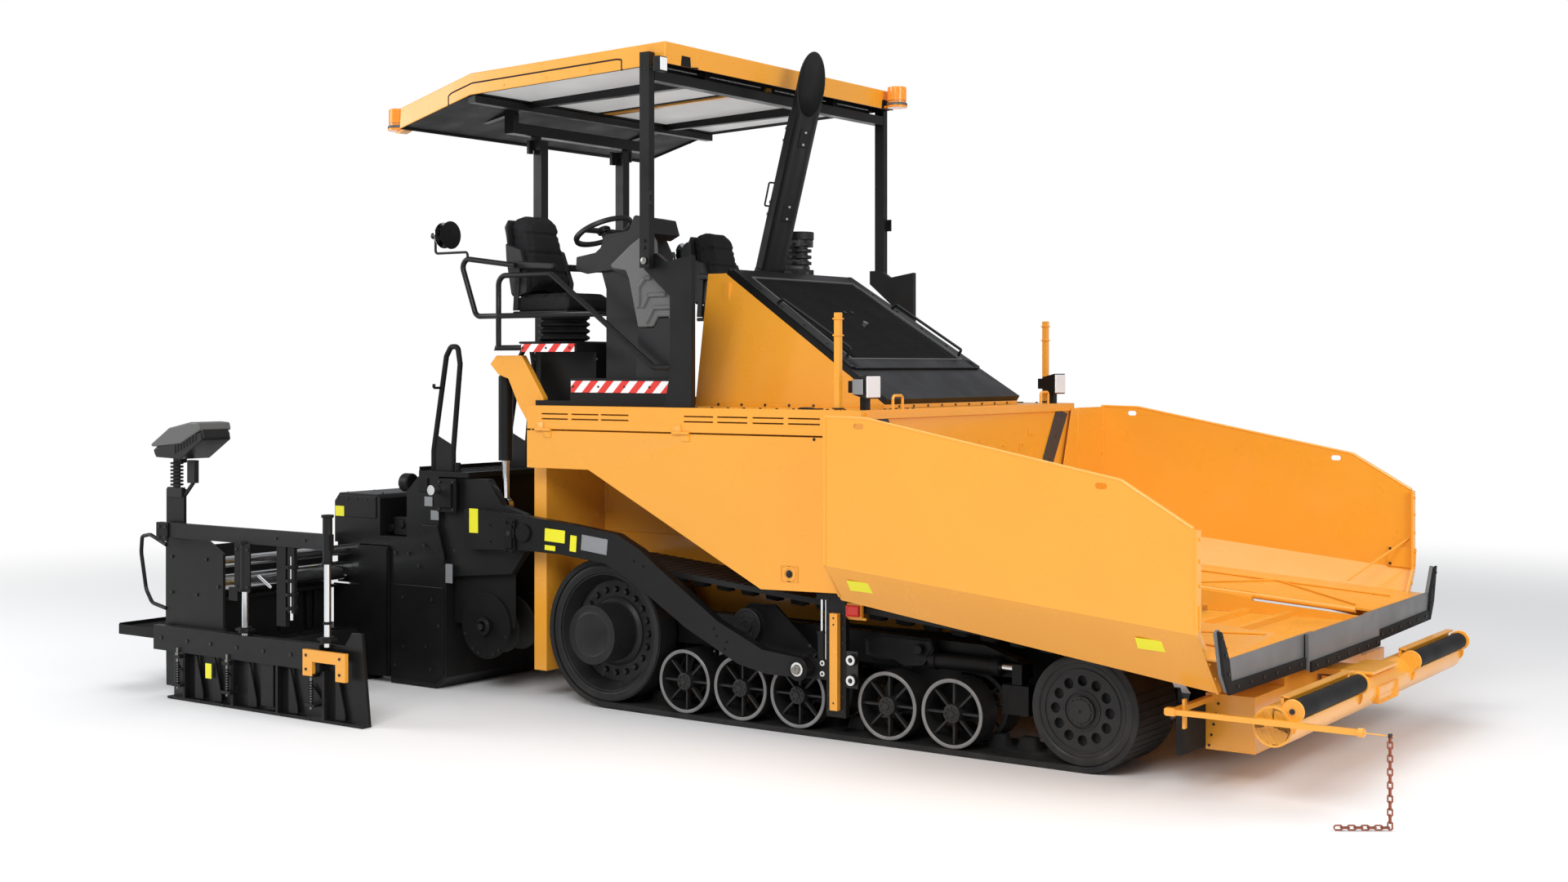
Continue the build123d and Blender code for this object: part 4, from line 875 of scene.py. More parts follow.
def arm_clamps(bm):
    boxes(bm, (-1548, -1462, -1292, SIDE_FACE, 896, 1104), (-1532, -1478, -1304, -1292, 930, 1070))
    for x in (-1530, -1480):
        for z in (912, 1088):
            bolt(bm, (x, -1292, z), OUT, 9, 8.1)
    turned(bm, [(0, 0), (52, 0), (58, 8), (52, 22), (0, 22)], (-1400, SIDE_FACE, 1025), OUT, 28)
    side_bolts(bm, SIDE_FACE, ((-540, 905), (-470, 880), (60, 520), (130, 492), (40, 560), (118, 452),
                   (-1680, 1060), (-1680, 960)), 8, 5)
    turned(bm, [(30, 0), (62, 0), (66, 5), (60, 10), (30, 10)], at(TOW_PIN, SIDE_FACE), OUT, 32)


def tow_pin_caps(bm):
    turned(bm, [(0, 0), (24, 0), (24, 6), (16, 10), (0, 10)], at(TOW_PIN, -1300), OUT, 24)
    bolt(bm, at(TOW_PIN, -1310), OUT, 9, 6)


def arm_pin_seals(bm):
    ring(bm, at(TOW_PIN, -1285), OUT, 26.5, 38, 4, 28)


def guide_roller_rings(bm):
    for x, z in ((930, 455), (930, 345)):
        ring(bm, (x, -1230, z), OUT, 14, 27, 6, 28)
    for x, z in ((735, 420), (735, 362)):
        ring(bm, (x, -1210, z), OUT, 7, 15, 5, 24)


def guide_bolts(bm):
    for x, z in ((930, 455), (930, 345), (735, 420), (735, 362)):
        bolt(bm, (x, -1212 if x < 800 else -1231, z), OUT, 6 if x < 800 else 11, 8)
    for z in (170, 250, 540, 620, 700, 770):
        for x in (776, 871):
            bolt(bm, (x, -1210, z), OUT, 7, 5)
    for z in (215, 640, 675):
        bolt(bm, (825, -1240, z), OUT, 5, 4)
    box(bm, (886, 960), (-1207, -1198), (300, 500))


def guide_cylinders(bm):
    rod(bm, (720, -1192, 440), (720, -1192, 590), 26)
    ring(bm, (720, -1192, 575), UP, 12, 30, 18, 24)
    box(bm, (690, 762), (-1206, -1178), (765, 800))


def guide_chrome_rods(bm):
    rod(bm, (720, -1192, 590), (720, -1192, 768), 9)
    rod(bm, (748, -1196, 440), (748, -1196, 768), 5)


def red_sockets(bm):
    cut_plate(bm, [(892, 688), (972, 688), (972, 748), (892, 748)], -1190, -1222, 14, 10)


def socket_frames(bm):
    boxes(bm, (884, 980, -1200, -1178, 678, 758), (884, 1000, -1188, -1176, 668, 682))


class PAVER_OT_towing(Operator):
    """Fit plates, clamps, pins and rollers to the tow arms and their guides"""
    bl_idname = "paver.towing"
    bl_label = "Towing"

    def execute(self, context):
        build_both(arm_yellow_plates, "plate_yellow", 0.5, body="screed")
        build_both(arm_slim_plates, "plate_yellow", 0.5, body="screed")
        build_both(arm_grey_plates, "plate_grey", 0.5, body="screed")
        build_both(arm_clamps, "black_satin", 2, body="screed")
        build_both(arm_pin_seals, "white_plastic", 0.6, body="screed")
        build_both(tow_pin_caps, "zinc_bolt", 1)
        build_both(guide_roller_rings, "white_plastic", 0.8)
        build_both(guide_bolts, "dark_bolt", 0.8)
        build_both(guide_cylinders, "black_enamel", 2)
        build_both(guide_chrome_rods, "chrome_rod")
        build_both(red_sockets, "red_plastic", 2)
        build_both(socket_frames, "yellow_enamel", 2)
        return {"FINISHED"}


WING_BEND_FALL = (1010 - 815) / (3073 - 1041)


def wing_bend(x):
    return 1010 - (x - 1041) * WING_BEND_FALL


def wing_flange(bm):
    plate(bm, [(-1664, 1292), (-1664, 813), (-1409, 510), (-1366, 524), (-1616, 826), (-1616, 1292)], "x", 3066, 3082)
    plate(bm, [(-1665, 1780), (-1665, 1010), (-1640, 1016), (-1640, 1780)], "x", 1037, 1056)


def hinge_covers(bm):
    """Plate under the wing's hinge line that closes the slits between its knuckles."""
    plate(bm, [(1065, 777), (3066, 638), (3066, 632), (1065, 771)], "y", -700, -598)


def wing_rear_plate(bm):
    """Upright plate that closes the wing's rear end against the hopper's rear wall."""
    plate(bm, [(-1283, 1769), (-1195, 1769), (-1085, 1440), (-960, 1060), (-930, 868), (-1100, 868), (-1218, 1099),
                   (-1283, 1399)], "x", 1043, 1047)


def wing_flange_bolts(bm):
    for z in (1250, 1150, 1040, 930, 850):
        bolt(bm, (3082, -1640, z), FRONT, 8, 6)
    front_bolts(bm, 3082, ((-1585, 745), (-1520, 668), (-1455, 592)), 8, 6)


def wing_blank_plates(bm):
    for x, z, reach in ((1225, 905, 0.847), (2822, 742, 0.845)):
        y = -1660 + (wing_bend(x) - z) * reach
        slab(bm, (x, y - 1, z - 1), (0, -0.763, -0.646), (1, 0, -WING_BEND_FALL), (150, 74, 2))


def wing_wear_plate(bm):
    """Bolted wear plate inside the wing near its front edge."""
    slab(bm, (3005, -1648, 892), (0, 1, 0), (1, 0, -0.06), (170, 120, 9))


def wing_wear_bolts(bm):
    for x in (2938, 3072):
        for z in (848, 938):
            bolt(bm, (x, -1639, z - (x - 3005) * 0.06), (0, 1, 0), 9, 6)


def wing_folds(bm):
    """Pressed folds and welded seams of the wing's floor and sloping plate."""
    for start, end in (((1060, -1180, 845), (3060, -1240, 706)), ((2380, -1240, 752), (2060, -640, 776)),
                       ((2380, -1240, 752), (3040, -700, 708)), ((2760, -1400, 760), (3050, -1648, 1010))):
        rod(bm, start, end, 6, sides=10)


def hopper_wall_fittings(bm):
    box(bm, (1024, 1031), (18, 584), (1180, 1606))
    front_bolts(bm, 1031, ((60, 1560), (300, 1560), (545, 1560), (60, 1225), (545, 1225)), 8, 6)
    boxes(bm, (1031, 1040, 505, 520, 1520, 1570), (1024, 1030, 640, 700, 1612, 1652),
          (1024, 1040, -1230, 1230, 1752, 1786))


FLAP_X = 1025


def hopper_wall_flaps(bm):
    plate(bm, [(-1018, 1768), (-1168, 1735), (-973, 1440), (-880, 1160), (-770, 1170), (-835, 1470)], "x",
              FLAP_X, FLAP_X + 6)


def hopper_flap_bolts(bm):
    front_bolts(bm, FLAP_X + 6, ((-1085, 1720), (-1000, 1590), (-915, 1450), (-870, 1320), (-835, 1200)), 8, 3)


def apron_strip(bm):
    plate(bm, [(-430, 585), (-1548, 598), (-1556, 540), (-425, 526)], "x", 3185, 3197)
    plate(bm, [(-1545, 600), (-1570, 700), (-1658, 838), (-1694, 848), (-1634, 640), (-1566, 540)], "x", 3185, 3200)


def apron_strip_bolts(bm):
    bolt_row(bm, (3197, -480, 562), (0, -165, 1.5), 7, FRONT, 9, 6)
    front_bolts(bm, 3200, ((-1590, 640), (-1625, 730), (-1665, 810)), 8, 6)


def front_apron_strip(bm):
    plate(bm, [(-548, 566), (548, 566), (548, 512), (-548, 512)], "x", 3211, 3222)


def front_apron_bolts(bm):
    bolt_row(bm, (3222, -480, 540), (0, 160, 0), 7, FRONT, 9, 6)


def push_beam_ears(bm):
    """End plates of the rollers: round lobes with their bosses, and the guard bar behind each roller."""
    for y in (-1362, -432):
        turned(bm, [(0, 0), (52, 0), (56, 4), (52, 12), (0, 12)], (3420, y, 462), OUT, 28)
        turned(bm, [(24, 0), (50, 0), (50, 8), (24, 8)], (3392, y, 396), OUT, 28)
    boxes(bm, (3352, 3366, -1337, -437, 474, 520), (3352, 3392, -1337, -437, 514, 524))
    turned(bm, [(0, 0), (86, 0), (94, -7), (94, -9), (0, -9)], (3330, -1385, 385), OUT, 40)


def push_beam_pins(bm):
    for y in (-1374, -444):
        bolt(bm, (3420, y, 462), OUT, 14, 9)
        rod(bm, (3392, y + 11, 396), (3392, y + 3, 396), 22, sides=24)


def push_beam_pocket(bm):
    """Cast tow pocket in the middle of the push tube."""
    cut_pocket(bm, (3402, 3440), (-160, 160), (318, 408))
    box(bm, (3250, 3420), (-210, 210), (470, 486))


def cut_pocket(bm, x, y, z):
    """Block with a sunk front face."""
    before = set(bm.faces)
    box(bm, x, y, z)
    fresh = [f for f in bm.faces if f not in before]
    bmesh.ops.recalc_face_normals(bm, faces=fresh)
    front = [f for f in fresh if f.normal.x > 0.9]
    bmesh.ops.inset_region(bm, faces=front, thickness=16 * MM, depth=-22 * MM)


def steering_guide_fittings(bm):
    boxes(bm, (2896, 2910, -1400, -1372, 330, 470), (2836, 2884, -1462, -1428, 396, 434))
    ring(bm, (3745, -1445, 415), FRONT, 14, 21, 26)


def steering_guide_clamps(bm):
    rod(bm, (3878, -1445, 415), (3895, -1445, 415), 11, sides=16)
    rod(bm, (3886, -1458, 415), (3886, -1432, 415), 6, sides=12)
    rod(bm, (2870, -1460, 392), (2870, -1430, 392), 10, sides=12)


def cross_beam_bolts(bm):
    for step in range(5):
        bolt(bm, (2846, -940, 190 + step * 50), (-1, 0, 0), 8, 6)
        bolt(bm, (2868 + step * 12, -1000, 185 + step * 52), OUT, 7, 6)


class PAVER_OT_hopper(Operator):
    """Fit flanges, folds, strips, blank plates and bolts to the hopper and its push beam"""
    bl_idname = "paver.hopper"
    bl_label = "Hopper"

    def execute(self, context):
        build_pair(wing_flange, "yellow_enamel", "wing", 4)
        build_both(hinge_covers, "yellow_enamel")
        build_pair(wing_rear_plate, "yellow_enamel", "wing", 1)
        build_pair(wing_flange_bolts, "yellow_enamel", "wing", 0.8)
        lip = [(1044, -1654, 1774), (1297, -1654, 1769), (2706, -1654, 1504), (3060, -1654, 1298)]
        for side, sign in SIDES:
            bent_tube(f"wing_lip_{side}", [[(x, y * sign, z) for x, y, z in lip]], 9, "yellow_enamel", 30,
                      f"wing_{side}")
        build_pair(wing_blank_plates, "plate_yellow", "wing", 0.5)
        build_pair(wing_wear_plate, "yellow_enamel", "wing", 2)
        build_pair(wing_wear_bolts, "dark_bolt", "wing", 0.8, slot="yellow_paint")
        build_pair(wing_folds, "yellow_enamel", "wing")
        build(hopper_wall_fittings, "yellow_enamel", 2)
        build_both(hopper_wall_flaps, "grey_rubber", 2)
        build_both(hopper_flap_bolts, "dark_bolt", 1)
        build_pair(apron_strip, "soft_rubber", "wing", 2)
        build_pair(apron_strip_bolts, "dark_bolt", "wing", 1)
        build(front_apron_strip, "soft_rubber", 2)
        build(front_apron_bolts, "dark_bolt", 1)
        build_both(push_beam_ears, "yellow_enamel", 2, body="push_beam")
        build_both(push_beam_pins, "dark_bolt", 1, body="push_beam", slot="steel")
        build(push_beam_pocket, "yellow_enamel", 5, body="push_beam")
        build(steering_guide_fittings, "yellow_enamel", 2)
        build(steering_guide_clamps, "dark_bolt", 1)
        build_both(cross_beam_bolts, "dark_bolt", 0.8, slot="yellow_paint")
        return {"FINISHED"}


def slope_point(down, across, lift=0.0):
    """A place on the engine hood's sloping lid, measured down the slope from its upper edge."""
    lean, rise = math.radians(LID_LEAN), lift + LID_THICK
    return (LID_TOP[0] + down * math.cos(lean) + rise * math.sin(lean), across,
            LID_TOP[1] - down * math.sin(lean) + rise * math.cos(lean))


LID_LEAN = 32.8
LID_THICK = 35
LID_TOP = (-330, 2595)
LID_FACING = (math.sin(math.radians(LID_LEAN)), 0, math.cos(math.radians(LID_LEAN)))


def slope_bar(bm, start, end, width, tall):
    """Flat bar lying on the lid between two places given as (down, across)."""
    a, b = Vector(slope_point(*start)), Vector(slope_point(*end))
    slab(bm, (a + b) / 2, LID_FACING, b - a, ((b - a).length, width, tall))


def lid_width(down):
    return 620 + down * 0.088


def grille_frame(bm):
    slope_bar(bm, (70, -lid_width(30)), (70, lid_width(30)), 84, 12)
    slope_bar(bm, (1075, -lid_width(1075)), (1075, lid_width(1075)), 90, 12)
    for side in (-1, 1):
        slope_bar(bm, (28, side * (lid_width(28) - 15)), (1110, side * (lid_width(1110) - 15)), 96, 12)


def grille_beads(bm):
    for side in (-1, 1):
        slope_bar(bm, (112, side * (lid_width(112) - 72)), (1026, side * (lid_width(1026) - 72)), 9, 16)
    slope_bar(bm, (116, -lid_width(116) + 72), (116, lid_width(116) - 72), 9, 16)
    slope_bar(bm, (1024, -lid_width(1024) + 72), (1024, lid_width(1024) - 72), 9, 16)


def grille_sheet(bm):
    slope_bar(bm, (66, 0), (1028, 0), 1120, 3)


def grille_bolts(bm):
    for step in range(6):
        for side in (-1, 1):
            down = 40 + step * 205
            bolt(bm, slope_point(down, side * (lid_width(down) - 12), 12), LID_FACING, 8, 5)
    for side in (-1, 1):
        bolt(bm, slope_point(500, side * 40, 6), LID_FACING, 12, 14)


def grille_wires(bm):
    """Wires of the grille: a grid just above its backing sheet."""
    for step in range(47):
        down = 84 + step * 20
        half = lid_width(down) - 82
        start, end = slope_point(down, -half, 5), slope_point(down, half, 5)
        rod(bm, start, end, 2.2, sides=4)
    for step in range(57):
        across = -560 + step * 20
        rod(bm, slope_point(74, across, 7), slope_point(1020, across, 7), 2.2, sides=4)


def grille_knob(bm):
    rod(bm, slope_point(640, 0), slope_point(640, 0, 34), 12, 18)


def hood_seams(bm):
    """Foot flange and corner strips of the hood's fixed sides."""
    for side in (-1, 1):
        box(bm, (-330, 860), sorted((side * 790, side * 800)), (1800, 1822))
        box(bm, (-325, -285), sorted((side * 668, side * 690)), (1822, 2540))
    box(bm, (860, 874), (-700, 700), (1802, 1818))


def hood_bolts(bm):
    for side in (-1, 1):
        bolt_row(bm, (-280, side * 800, 1811), (170, 0, 0), 7, (0, side, 0), 8, 6)
    bolt_row(bm, (874, -640, 1810), (0, 160, 0), 9, FRONT, 7, 5)


def stack_place(along, radius=0.0, turn=0.0):
    """A place on the leaning exhaust stack: a length along it and a point round it."""
    lean = math.radians(STACK_LEAN)
    axis = Vector((math.sin(lean), 0, math.cos(lean)))
    side = Vector((0, -1, 0))
    front = side.cross(axis)
    spot = Vector(STACK_FOOT) + axis * along + (front * math.cos(turn) + side * math.sin(turn)) * radius
    return spot, axis, (front * math.cos(turn) + side * math.sin(turn)).normalized()


STACK_LEAN = 15.2
STACK_FOOT = (-440, -60, 2595)


def stack_pipe(bm):
    """Leaning pipe whose upper end is cut off obliquely, facing the machine's front corner."""
    foot, axis, _ = stack_place(0)
    turned(bm, [(88, 0), (88, 1480), (82, 1480), (82, 0)], foot, axis, 48)
    out = Vector((0.75, -0.66, 0))
    out = (out - axis * out.dot(axis)).normalized()
    across = axis.cross(out)
    low, high = foot + axis * 1020 + out * 88, foot + axis * 1436 - out * 88
    normal = (high - low).cross(across).normalized()
    if normal.dot(out) < 0:
        normal = -normal
    cut = bmesh.ops.bisect_plane(bm, geom=bm.verts[:] + bm.edges[:] + bm.faces[:], plane_co=low * MM,
                                 plane_no=normal, clear_outer=True)["geom_cut"]
    bmesh.ops.bridge_loops(bm, edges=[g for g in cut if isinstance(g, bmesh.types.BMEdge)])


def stack_rings(bm):
    foot, axis, _ = stack_place(0)
    turned(bm, [(88, 0), (103, 0), (103, 10), (98, 16), (98, 46), (88, 52)], foot, axis, 40)


def stack_plates(bm):
    for along in (430, 900):
        for turn in (0.7, 2.5):
            spot, axis, out = stack_place(along, 84, turn)
            slab(bm, spot, out, axis, (110, 60, 10))
    spot, axis, out = stack_place(540, 83, 1.2)
    slab(bm, spot, out, axis, (980, 70, 9))


def stack_bolts(bm):
    for along in (430, 900):
        for turn in (0.7, 2.5):
            for shift in (-38, 38):
                spot, _, out = stack_place(along + shift, 94, turn)
                bolt(bm, spot, out, 9, 7)
    for step in range(8):
        spot, _, out = stack_place(30, 97, step * math.pi / 4)
        bolt(bm, spot, out, 6, 4)


def air_intake_ribs(bm):
    """Bulging ribbed body and cap of the engine's air intake."""
    rows = [(0, 0), (98, 0), (104, 20)]
    for step in range(6):
        low = 26 + step * 36
        swell = 105 - step * 4
        rows += [(swell - 7, low), (swell, low + 6), (swell, low + 26), (swell - 7, low + 32)]
    rows += [(88, 246), (102, 254), (106, 276), (92, 298), (40, 308), (0, 308)]
    turned(bm, rows, (-443, 225, 2588), UP, 40)
    box(bm, (-420, -345), (140, 300), (2800, 2850))


def lamp_bodies(bm):
    """Bracket and foot of each work lamp on the deck's front."""
    boxes(bm, (860, 902, -1150, -1082, 1892, 1958), (930, 970, -1140, -1092, 1800, 1880))


def lamp_glass(bm):
    slab(bm, (998, -1116, 1925), FRONT, (0, 1, 0), (136, 116, 9))


def lamp_side_glass(bm):
    box(bm, (916, 984), (-1193, -1190), (1884, 1966))


def marker_post_collars(bm):
    for z in (2200, 2290):
        box(bm, (822, 868), (-1246, -1200), (z, z + 8))


def marker_post_feet(bm):
    rod(bm, (845, -1223, 1806), (845, -1223, 1812), 34, sides=24)


def vent_slot_shade(bm):
    """Near-black strips inside the deck's ventilation slots: painted shade of the slots' insides."""
    for x in (-1257, -1020, -790, -173, 65, 310, 550):
        for z in (1727, 1757):
            box(bm, (x - 4, x + 214), (-1272, -1268), (z - 4, z + 12))


def deck_latches(bm):
    turned(bm, [(0, 0), (34, 0), (40, 3), (40, 7), (34, 11), (0, 12)], (600, -1172, 1800), UP, 36)
    box(bm, (560, 700), (-1196, -1148), (1800, 1806))


def deck_bolts(bm):
    for step in range(11):
        for side in (-1, 1):
            bolt(bm, (-230 + step * 112, side * 1228, 1800), UP, 8, 6)
    bolt_row(bm, (990, -980, 1800), (0, 60, 0), 6, UP, 7, 5)


def door_frames(bm):
    ring(bm, (560, SIDE_FACE, 900), OUT, 30, 44, 4, 32)
    boxes(bm, (502, 617, SIDE_FACE - 4, SIDE_FACE, 856, 862), (502, 617, SIDE_FACE - 4, SIDE_FACE, 939, 945),
          (502, 508, SIDE_FACE - 4, SIDE_FACE, 862, 939), (611, 617, SIDE_FACE - 4, SIDE_FACE, 862, 939))


def door_latches(bm):
    turned(bm, [(0, 0), (20, 0), (22, 3), (10, 9), (0, 10)], (560, SIDE_FACE, 900), OUT, 28)
    side_bolts(bm, SIDE_FACE, ((698, 520), (724, 1640)), 9, 5)


class PAVER_OT_engine(Operator):
    """Fit the grille, stack, intake, lamps, latches and bolts of the engine's housing"""
    bl_idname = "paver.engine"
    bl_label = "Engine housing"

    def execute(self, context):
        build(grille_frame, "black_enamel", 2, body="hood_lid")
        build(grille_beads, "grey_plastic", 1.5, body="hood_lid")
        build(grille_sheet, "hood_mesh", body="hood_lid")
        build(grille_wires, "black_satin", body="hood_lid")
        build(grille_knob, "grey_plastic", 2, body="hood_lid")
        build(grille_bolts, "dark_bolt", 0.8, body="hood_lid")
        rail = [(19, 640, 2401), (74, 640, 2432), (551, 640, 2140), (527, 640, 2099)]
        bent_tube("hood_rails", [rail, [(x, -y, z) for x, y, z in rail]], 9, "black_enamel", 30, "hood_lid")
        build(hood_seams, "yellow_enamel", 1.5)
        build(hood_bolts, "dark_bolt", 0.8)
        build(stack_rings, "black_satin", 1.5)
        build(stack_plates, "black_satin", 1.5)
        build(stack_bolts, "zinc_bolt", 0.8)
        pipe = build(stack_pipe, "black_satin")
        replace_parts(pipe, "exhaust_stack")
        # the stack's inner faces get the near-black finish: soot, and painted shade down inside the pipe
        pipe.data.materials.append(FINISHES["soot"])
        foot, axis, _ = stack_place(0)
        for face in pipe.data.polygons:
            reach = Vector(face.center) / MM - foot
            face.material_index = int((reach - axis * reach.dot(axis)).length < 85)
        bent_tube("stack_handle", [[(-398, -90, 3040), (-452, -90, 3048), (-416, -90, 3192), (-362, -90, 3184)]],
                  6, "black_enamel", 25)
        build(air_intake_ribs, "intake_grey", 3)
        build_both(lamp_bodies, "black_enamel", 4)
        build_both(lamp_glass, "lamp_lens", 8, segments=3)
        build_both(lamp_side_glass, "plate_grey", 2)
        build_both(marker_post_collars, "yellow_enamel", 1.5)
        build_both(marker_post_feet, "black_enamel", 1)
        # near-black strips in the deck's vent slots: painted shade inside the slots
        build_both(vent_slot_shade, "soot")
        build_both(deck_latches, "black_enamel", 1.5)
        build(deck_bolts, "dark_bolt", 0.8)
        build_pair(door_frames, "yellow_enamel", "side_door", 1)
        build_pair(door_latches, "dark_plastic", "side_door", 1, slot="black_paint")
        return {"FINISHED"}


def hazard_strips(bm):
    """Flat sheets that carry the hazard stripes along the platform's edges."""
    boxes(bm, (-1452, -1025, -1243, -1240, 2124, 2172), (-1086, -297, -1203, -1200, 1880, 1950))


def seat_pans(bm):
    """Moulded pan and lower frame under one seat's cushion."""
    boxes(bm, (-1610, -1165, -1150, -710, 2356, 2376), (-1590, -1190, -1120, -740, 2176, 2190))


def seat_folds(bm):
    """Rubber folds between the seat's pan and its base."""
    rows = [(0, 0)]
    for step in range(4):
        low = step * 41.5
        rows += [(188, low + 3), (214, low + 14), (214, low + 27), (188, low + 38)]
    turned(bm, rows + [(0, 166)], (-1385, SEAT_MIDDLE, 2190), UP, 4)
    spot = point(-1385, SEAT_MIDDLE, 0)
    bmesh.ops.translate(bm, verts=bm.verts, vec=-spot)
    bmesh.ops.rotate(bm, verts=bm.verts, matrix=Matrix.Rotation(math.radians(45), 3, "Z"))
    bmesh.ops.translate(bm, verts=bm.verts, vec=spot)


def narrow_top(verts):
    """Draw in the upper part of a seat back towards its middle and round its corners, where the head rests."""
    for vert in verts:
        rise = min(max((vert.co.z / MM - 2700) / 296, 0), 1)
        corner = max(rise - 0.66, 0) / 0.34
        keep = (1 - 0.22 * rise) * math.sqrt(1 - 0.72 * corner ** 2)
        vert.co.y = SEAT_MIDDLE * MM + (vert.co.y - SEAT_MIDDLE * MM) * keep


def seat_shells(bm):
    """Moulded shell behind one seat's back, with its side bolsters."""
    plate(bm, [(-1632, 2470), (-1608, 2470), (-1650, 2700), (-1672, 2800), (-1696, 2900), (-1706, 2950),
                   (-1724, 2950), (-1712, 2900), (-1690, 2800), (-1668, 2700)], "y", -1136, -724)
    for y in ((-1150, -1110), (-750, -710)):
        plate(bm, [(-1625, 2478), (-1500, 2486), (-1490, 2560), (-1560, 2760), (-1690, 2800), (-1668, 2700)],
                  "y", y[0], y[1])
    narrow_top(bm.verts)


def seat_arms(bm):
    """Folding arm rests at both sides of one seat."""
    for y in ((-1190, -1152), (-708, -670)):
        plate(bm, [(-1560, 2640), (-1250, 2622), (-1240, 2640), (-1250, 2662), (-1560, 2684), (-1580, 2662)],
                  "y", y[0], y[1])


def seat_brackets(bm):
    for y in ((-1160, -1146), (-714, -700)):
        plate(bm, [(-1600, 2380), (-1560, 2380), (-1540, 2650), (-1580, 2650)], "y", y[0], y[1])


def seat_levers(bm):
    rod(bm, (-1230, -690, 2330), (-1150, -668, 2345), 8)
    rod(bm, (-1150, -668, 2345), (-1110, -664, 2352), 14, 11)
    box(bm, (-1600, -1180), (-712, -704), (2350, 2364))


def dash_cover_right(bm):
    """Moulded side cover that slopes from the desk down to the floor's front."""
    plate(bm, [(-598, 2263), (-484, 2266), (-448, 2323), (-310, 2323), (-300, 2419), (-403, 2537), (-500, 2650),
                   (-512, 2770), (-545, 2816), (-657, 2752), (-810, 2639), (-798, 2615), (-692, 2599),
                   (-668, 2550)], "y", -1170, -1084)


def dash_cover_left(bm):
    """The other side's cover, which stays below the hood's line."""
    plate(bm, [(-900, 2540), (-860, 2400), (-800, 2270), (-640, 2270), (-560, 2400), (-560, 2540)], "y", 1084, 1170)


def dash_posts(bm):
    """Dark lower panel between the side cover and the platform's floor."""
    plate(bm, [(-630, 1832), (-330, 1832), (-320, 2320), (-450, 2318), (-486, 2262), (-600, 2262)], "y", -1160, -1100)


def dash_cover_ribs(bm):
    """Raised bent ribs moulded on the right side cover's outer face."""
    for route in (((-590, 2380), (-590, 2500), (-540, 2552), (-495, 2552)), ((-560, 2380), (-515, 2452), (-385, 2452)),
                  ((-530, 2290), (-475, 2378), (-330, 2378))):
        for start, end in zip(route, route[1:]):
            rod(bm, (start[0], -1168, start[1]), (end[0], -1168, end[1]), 15, sides=12)


def console_desk(bm):
    """Sloping wing-shaped instrument desk with its hood."""
    plate(bm, [(-985, 2650), (-955, 2560), (-640, 2560), (-620, 2660), (-700, 2760), (-790, 2772)], "y", -1045, -815)
    plate(bm, [(-800, 2768), (-690, 2752), (-655, 2800), (-760, 2835)], "y", -1040, -820)


def desk_side(bm):
    """Dark side wing of the desk, from under the steering wheel up to the screen's hood."""
    plate(bm, [(-1155, 2618), (-1150, 2700), (-1000, 2722), (-888, 2800), (-733, 2852), (-700, 2930),
                   (-600, 2912), (-566, 2815), (-655, 2740), (-700, 2580), (-733, 2557), (-864, 2612),
                   (-1069, 2596)], "y", -1082, -1062)
    plate(bm, [(-720, 2830), (-700, 2930), (-600, 2912), (-570, 2822), (-640, 2790)], "y", -1062, -800)


def console_keys(bm):
    for row in range(3):
        for column in range(6):
            slab(bm, (-940 + row * 46, -1020 + column * 36, 2668 + row * 27), (-0.53, 0, 0.85), (0, 1, 0), (22, 20, 6))


def console_screen(bm):
    slab(bm, (-742, SEAT_MIDDLE, 2806), (-0.35, 0, 0.94), (0, 1, 0), (180, 70, 3))


def pedals(bm):
    for y in (-880, -1000):
        slab(bm, (-735, y, 1905), (-0.75, 0, 0.66), (0, 1, 0), (64, 96, 10))
        rod(bm, (-725, y, 1895), (-660, y, 1840), 9)


def wheel_column(bm):
    """Column of the steering wheel, with its rubber boot and clamp."""
    rod(bm, (-1030, SEAT_MIDDLE, 2796), (-880, SEAT_MIDDLE, 2590), 26, 34)
    rod(bm, (-880, SEAT_MIDDLE, 2590), (-855, SEAT_MIDDLE, 2556), 60, 62)


def steering_wheel_cap(bm):
    """Cap over the steering wheel's spokes."""
    tilt = math.radians(25)
    axis = Vector((-math.sin(tilt), 0, math.cos(tilt)))
    centre = Vector((-1060, SEAT_MIDDLE, 2860))
    turned(bm, [(0, 26), (34, 24), (44, 16), (46, 4), (0, 4)], centre, axis, 32)


def floor_ribs(bm):
    """Ribbed floor of the platform."""
    for step in range(34):
        x = -980 + step * 19
        box(bm, (x, x + 8), (-640, 640), (1830, 1834))


def platform_bolts(bm):
    for x in (-1440, -1250, -1060):
        bolt(bm, (x, -1243, 2148), OUT, 7, 5)
    for x in (-1070, -870, -670, -480, -320):
        bolt(bm, (x, -1203, 1915), OUT, 7, 5)
    side_bolts(bm, -1062, ((-1500, 1950), (-1500, 2080), (-1000, 1950), (-1000, 2080)), 9, 6)


def mirror_faces(bm):
    turned(bm, [(0, 0), (82, 0), (82, 2), (0, 3)], (-2131, -1221, 2862), (-1, 0, 0), 48)


def rail_feet(bm):
    for x in (-1661, -300):
        z = 2133 if x < -1000 else 2030
        ring(bm, (x, -1221, z), UP, 17, 28, 10, 28)



CUSHIONS = [
    # name, profile along the seat (x, z), y range
    ("seat_cushion", [(-1605, 2378), (-1180, 2378), (-1158, 2402), (-1158, 2448), (-1190, 2466), (-1600, 2460)],
     (-1138, -722)),
    ("seat_back", [(-1612, 2492), (-1502, 2492), (-1496, 2560), (-1572, 2940), (-1600, 2990), (-1650, 2996),
                   (-1684, 2975), (-1686, 2930)], (-1116, -744)),
]
CHANNELS = {"seat_cushion": ("x", (-1500, -1390, -1280)), "seat_back": ("z", (2620, 2740, 2860))}


SKIN_VOXEL = 9
CLOTH_FRAMES = 20
SWELL_LIMIT = 22
STITCH_WIDTH = STITCH_DEPTH = 9


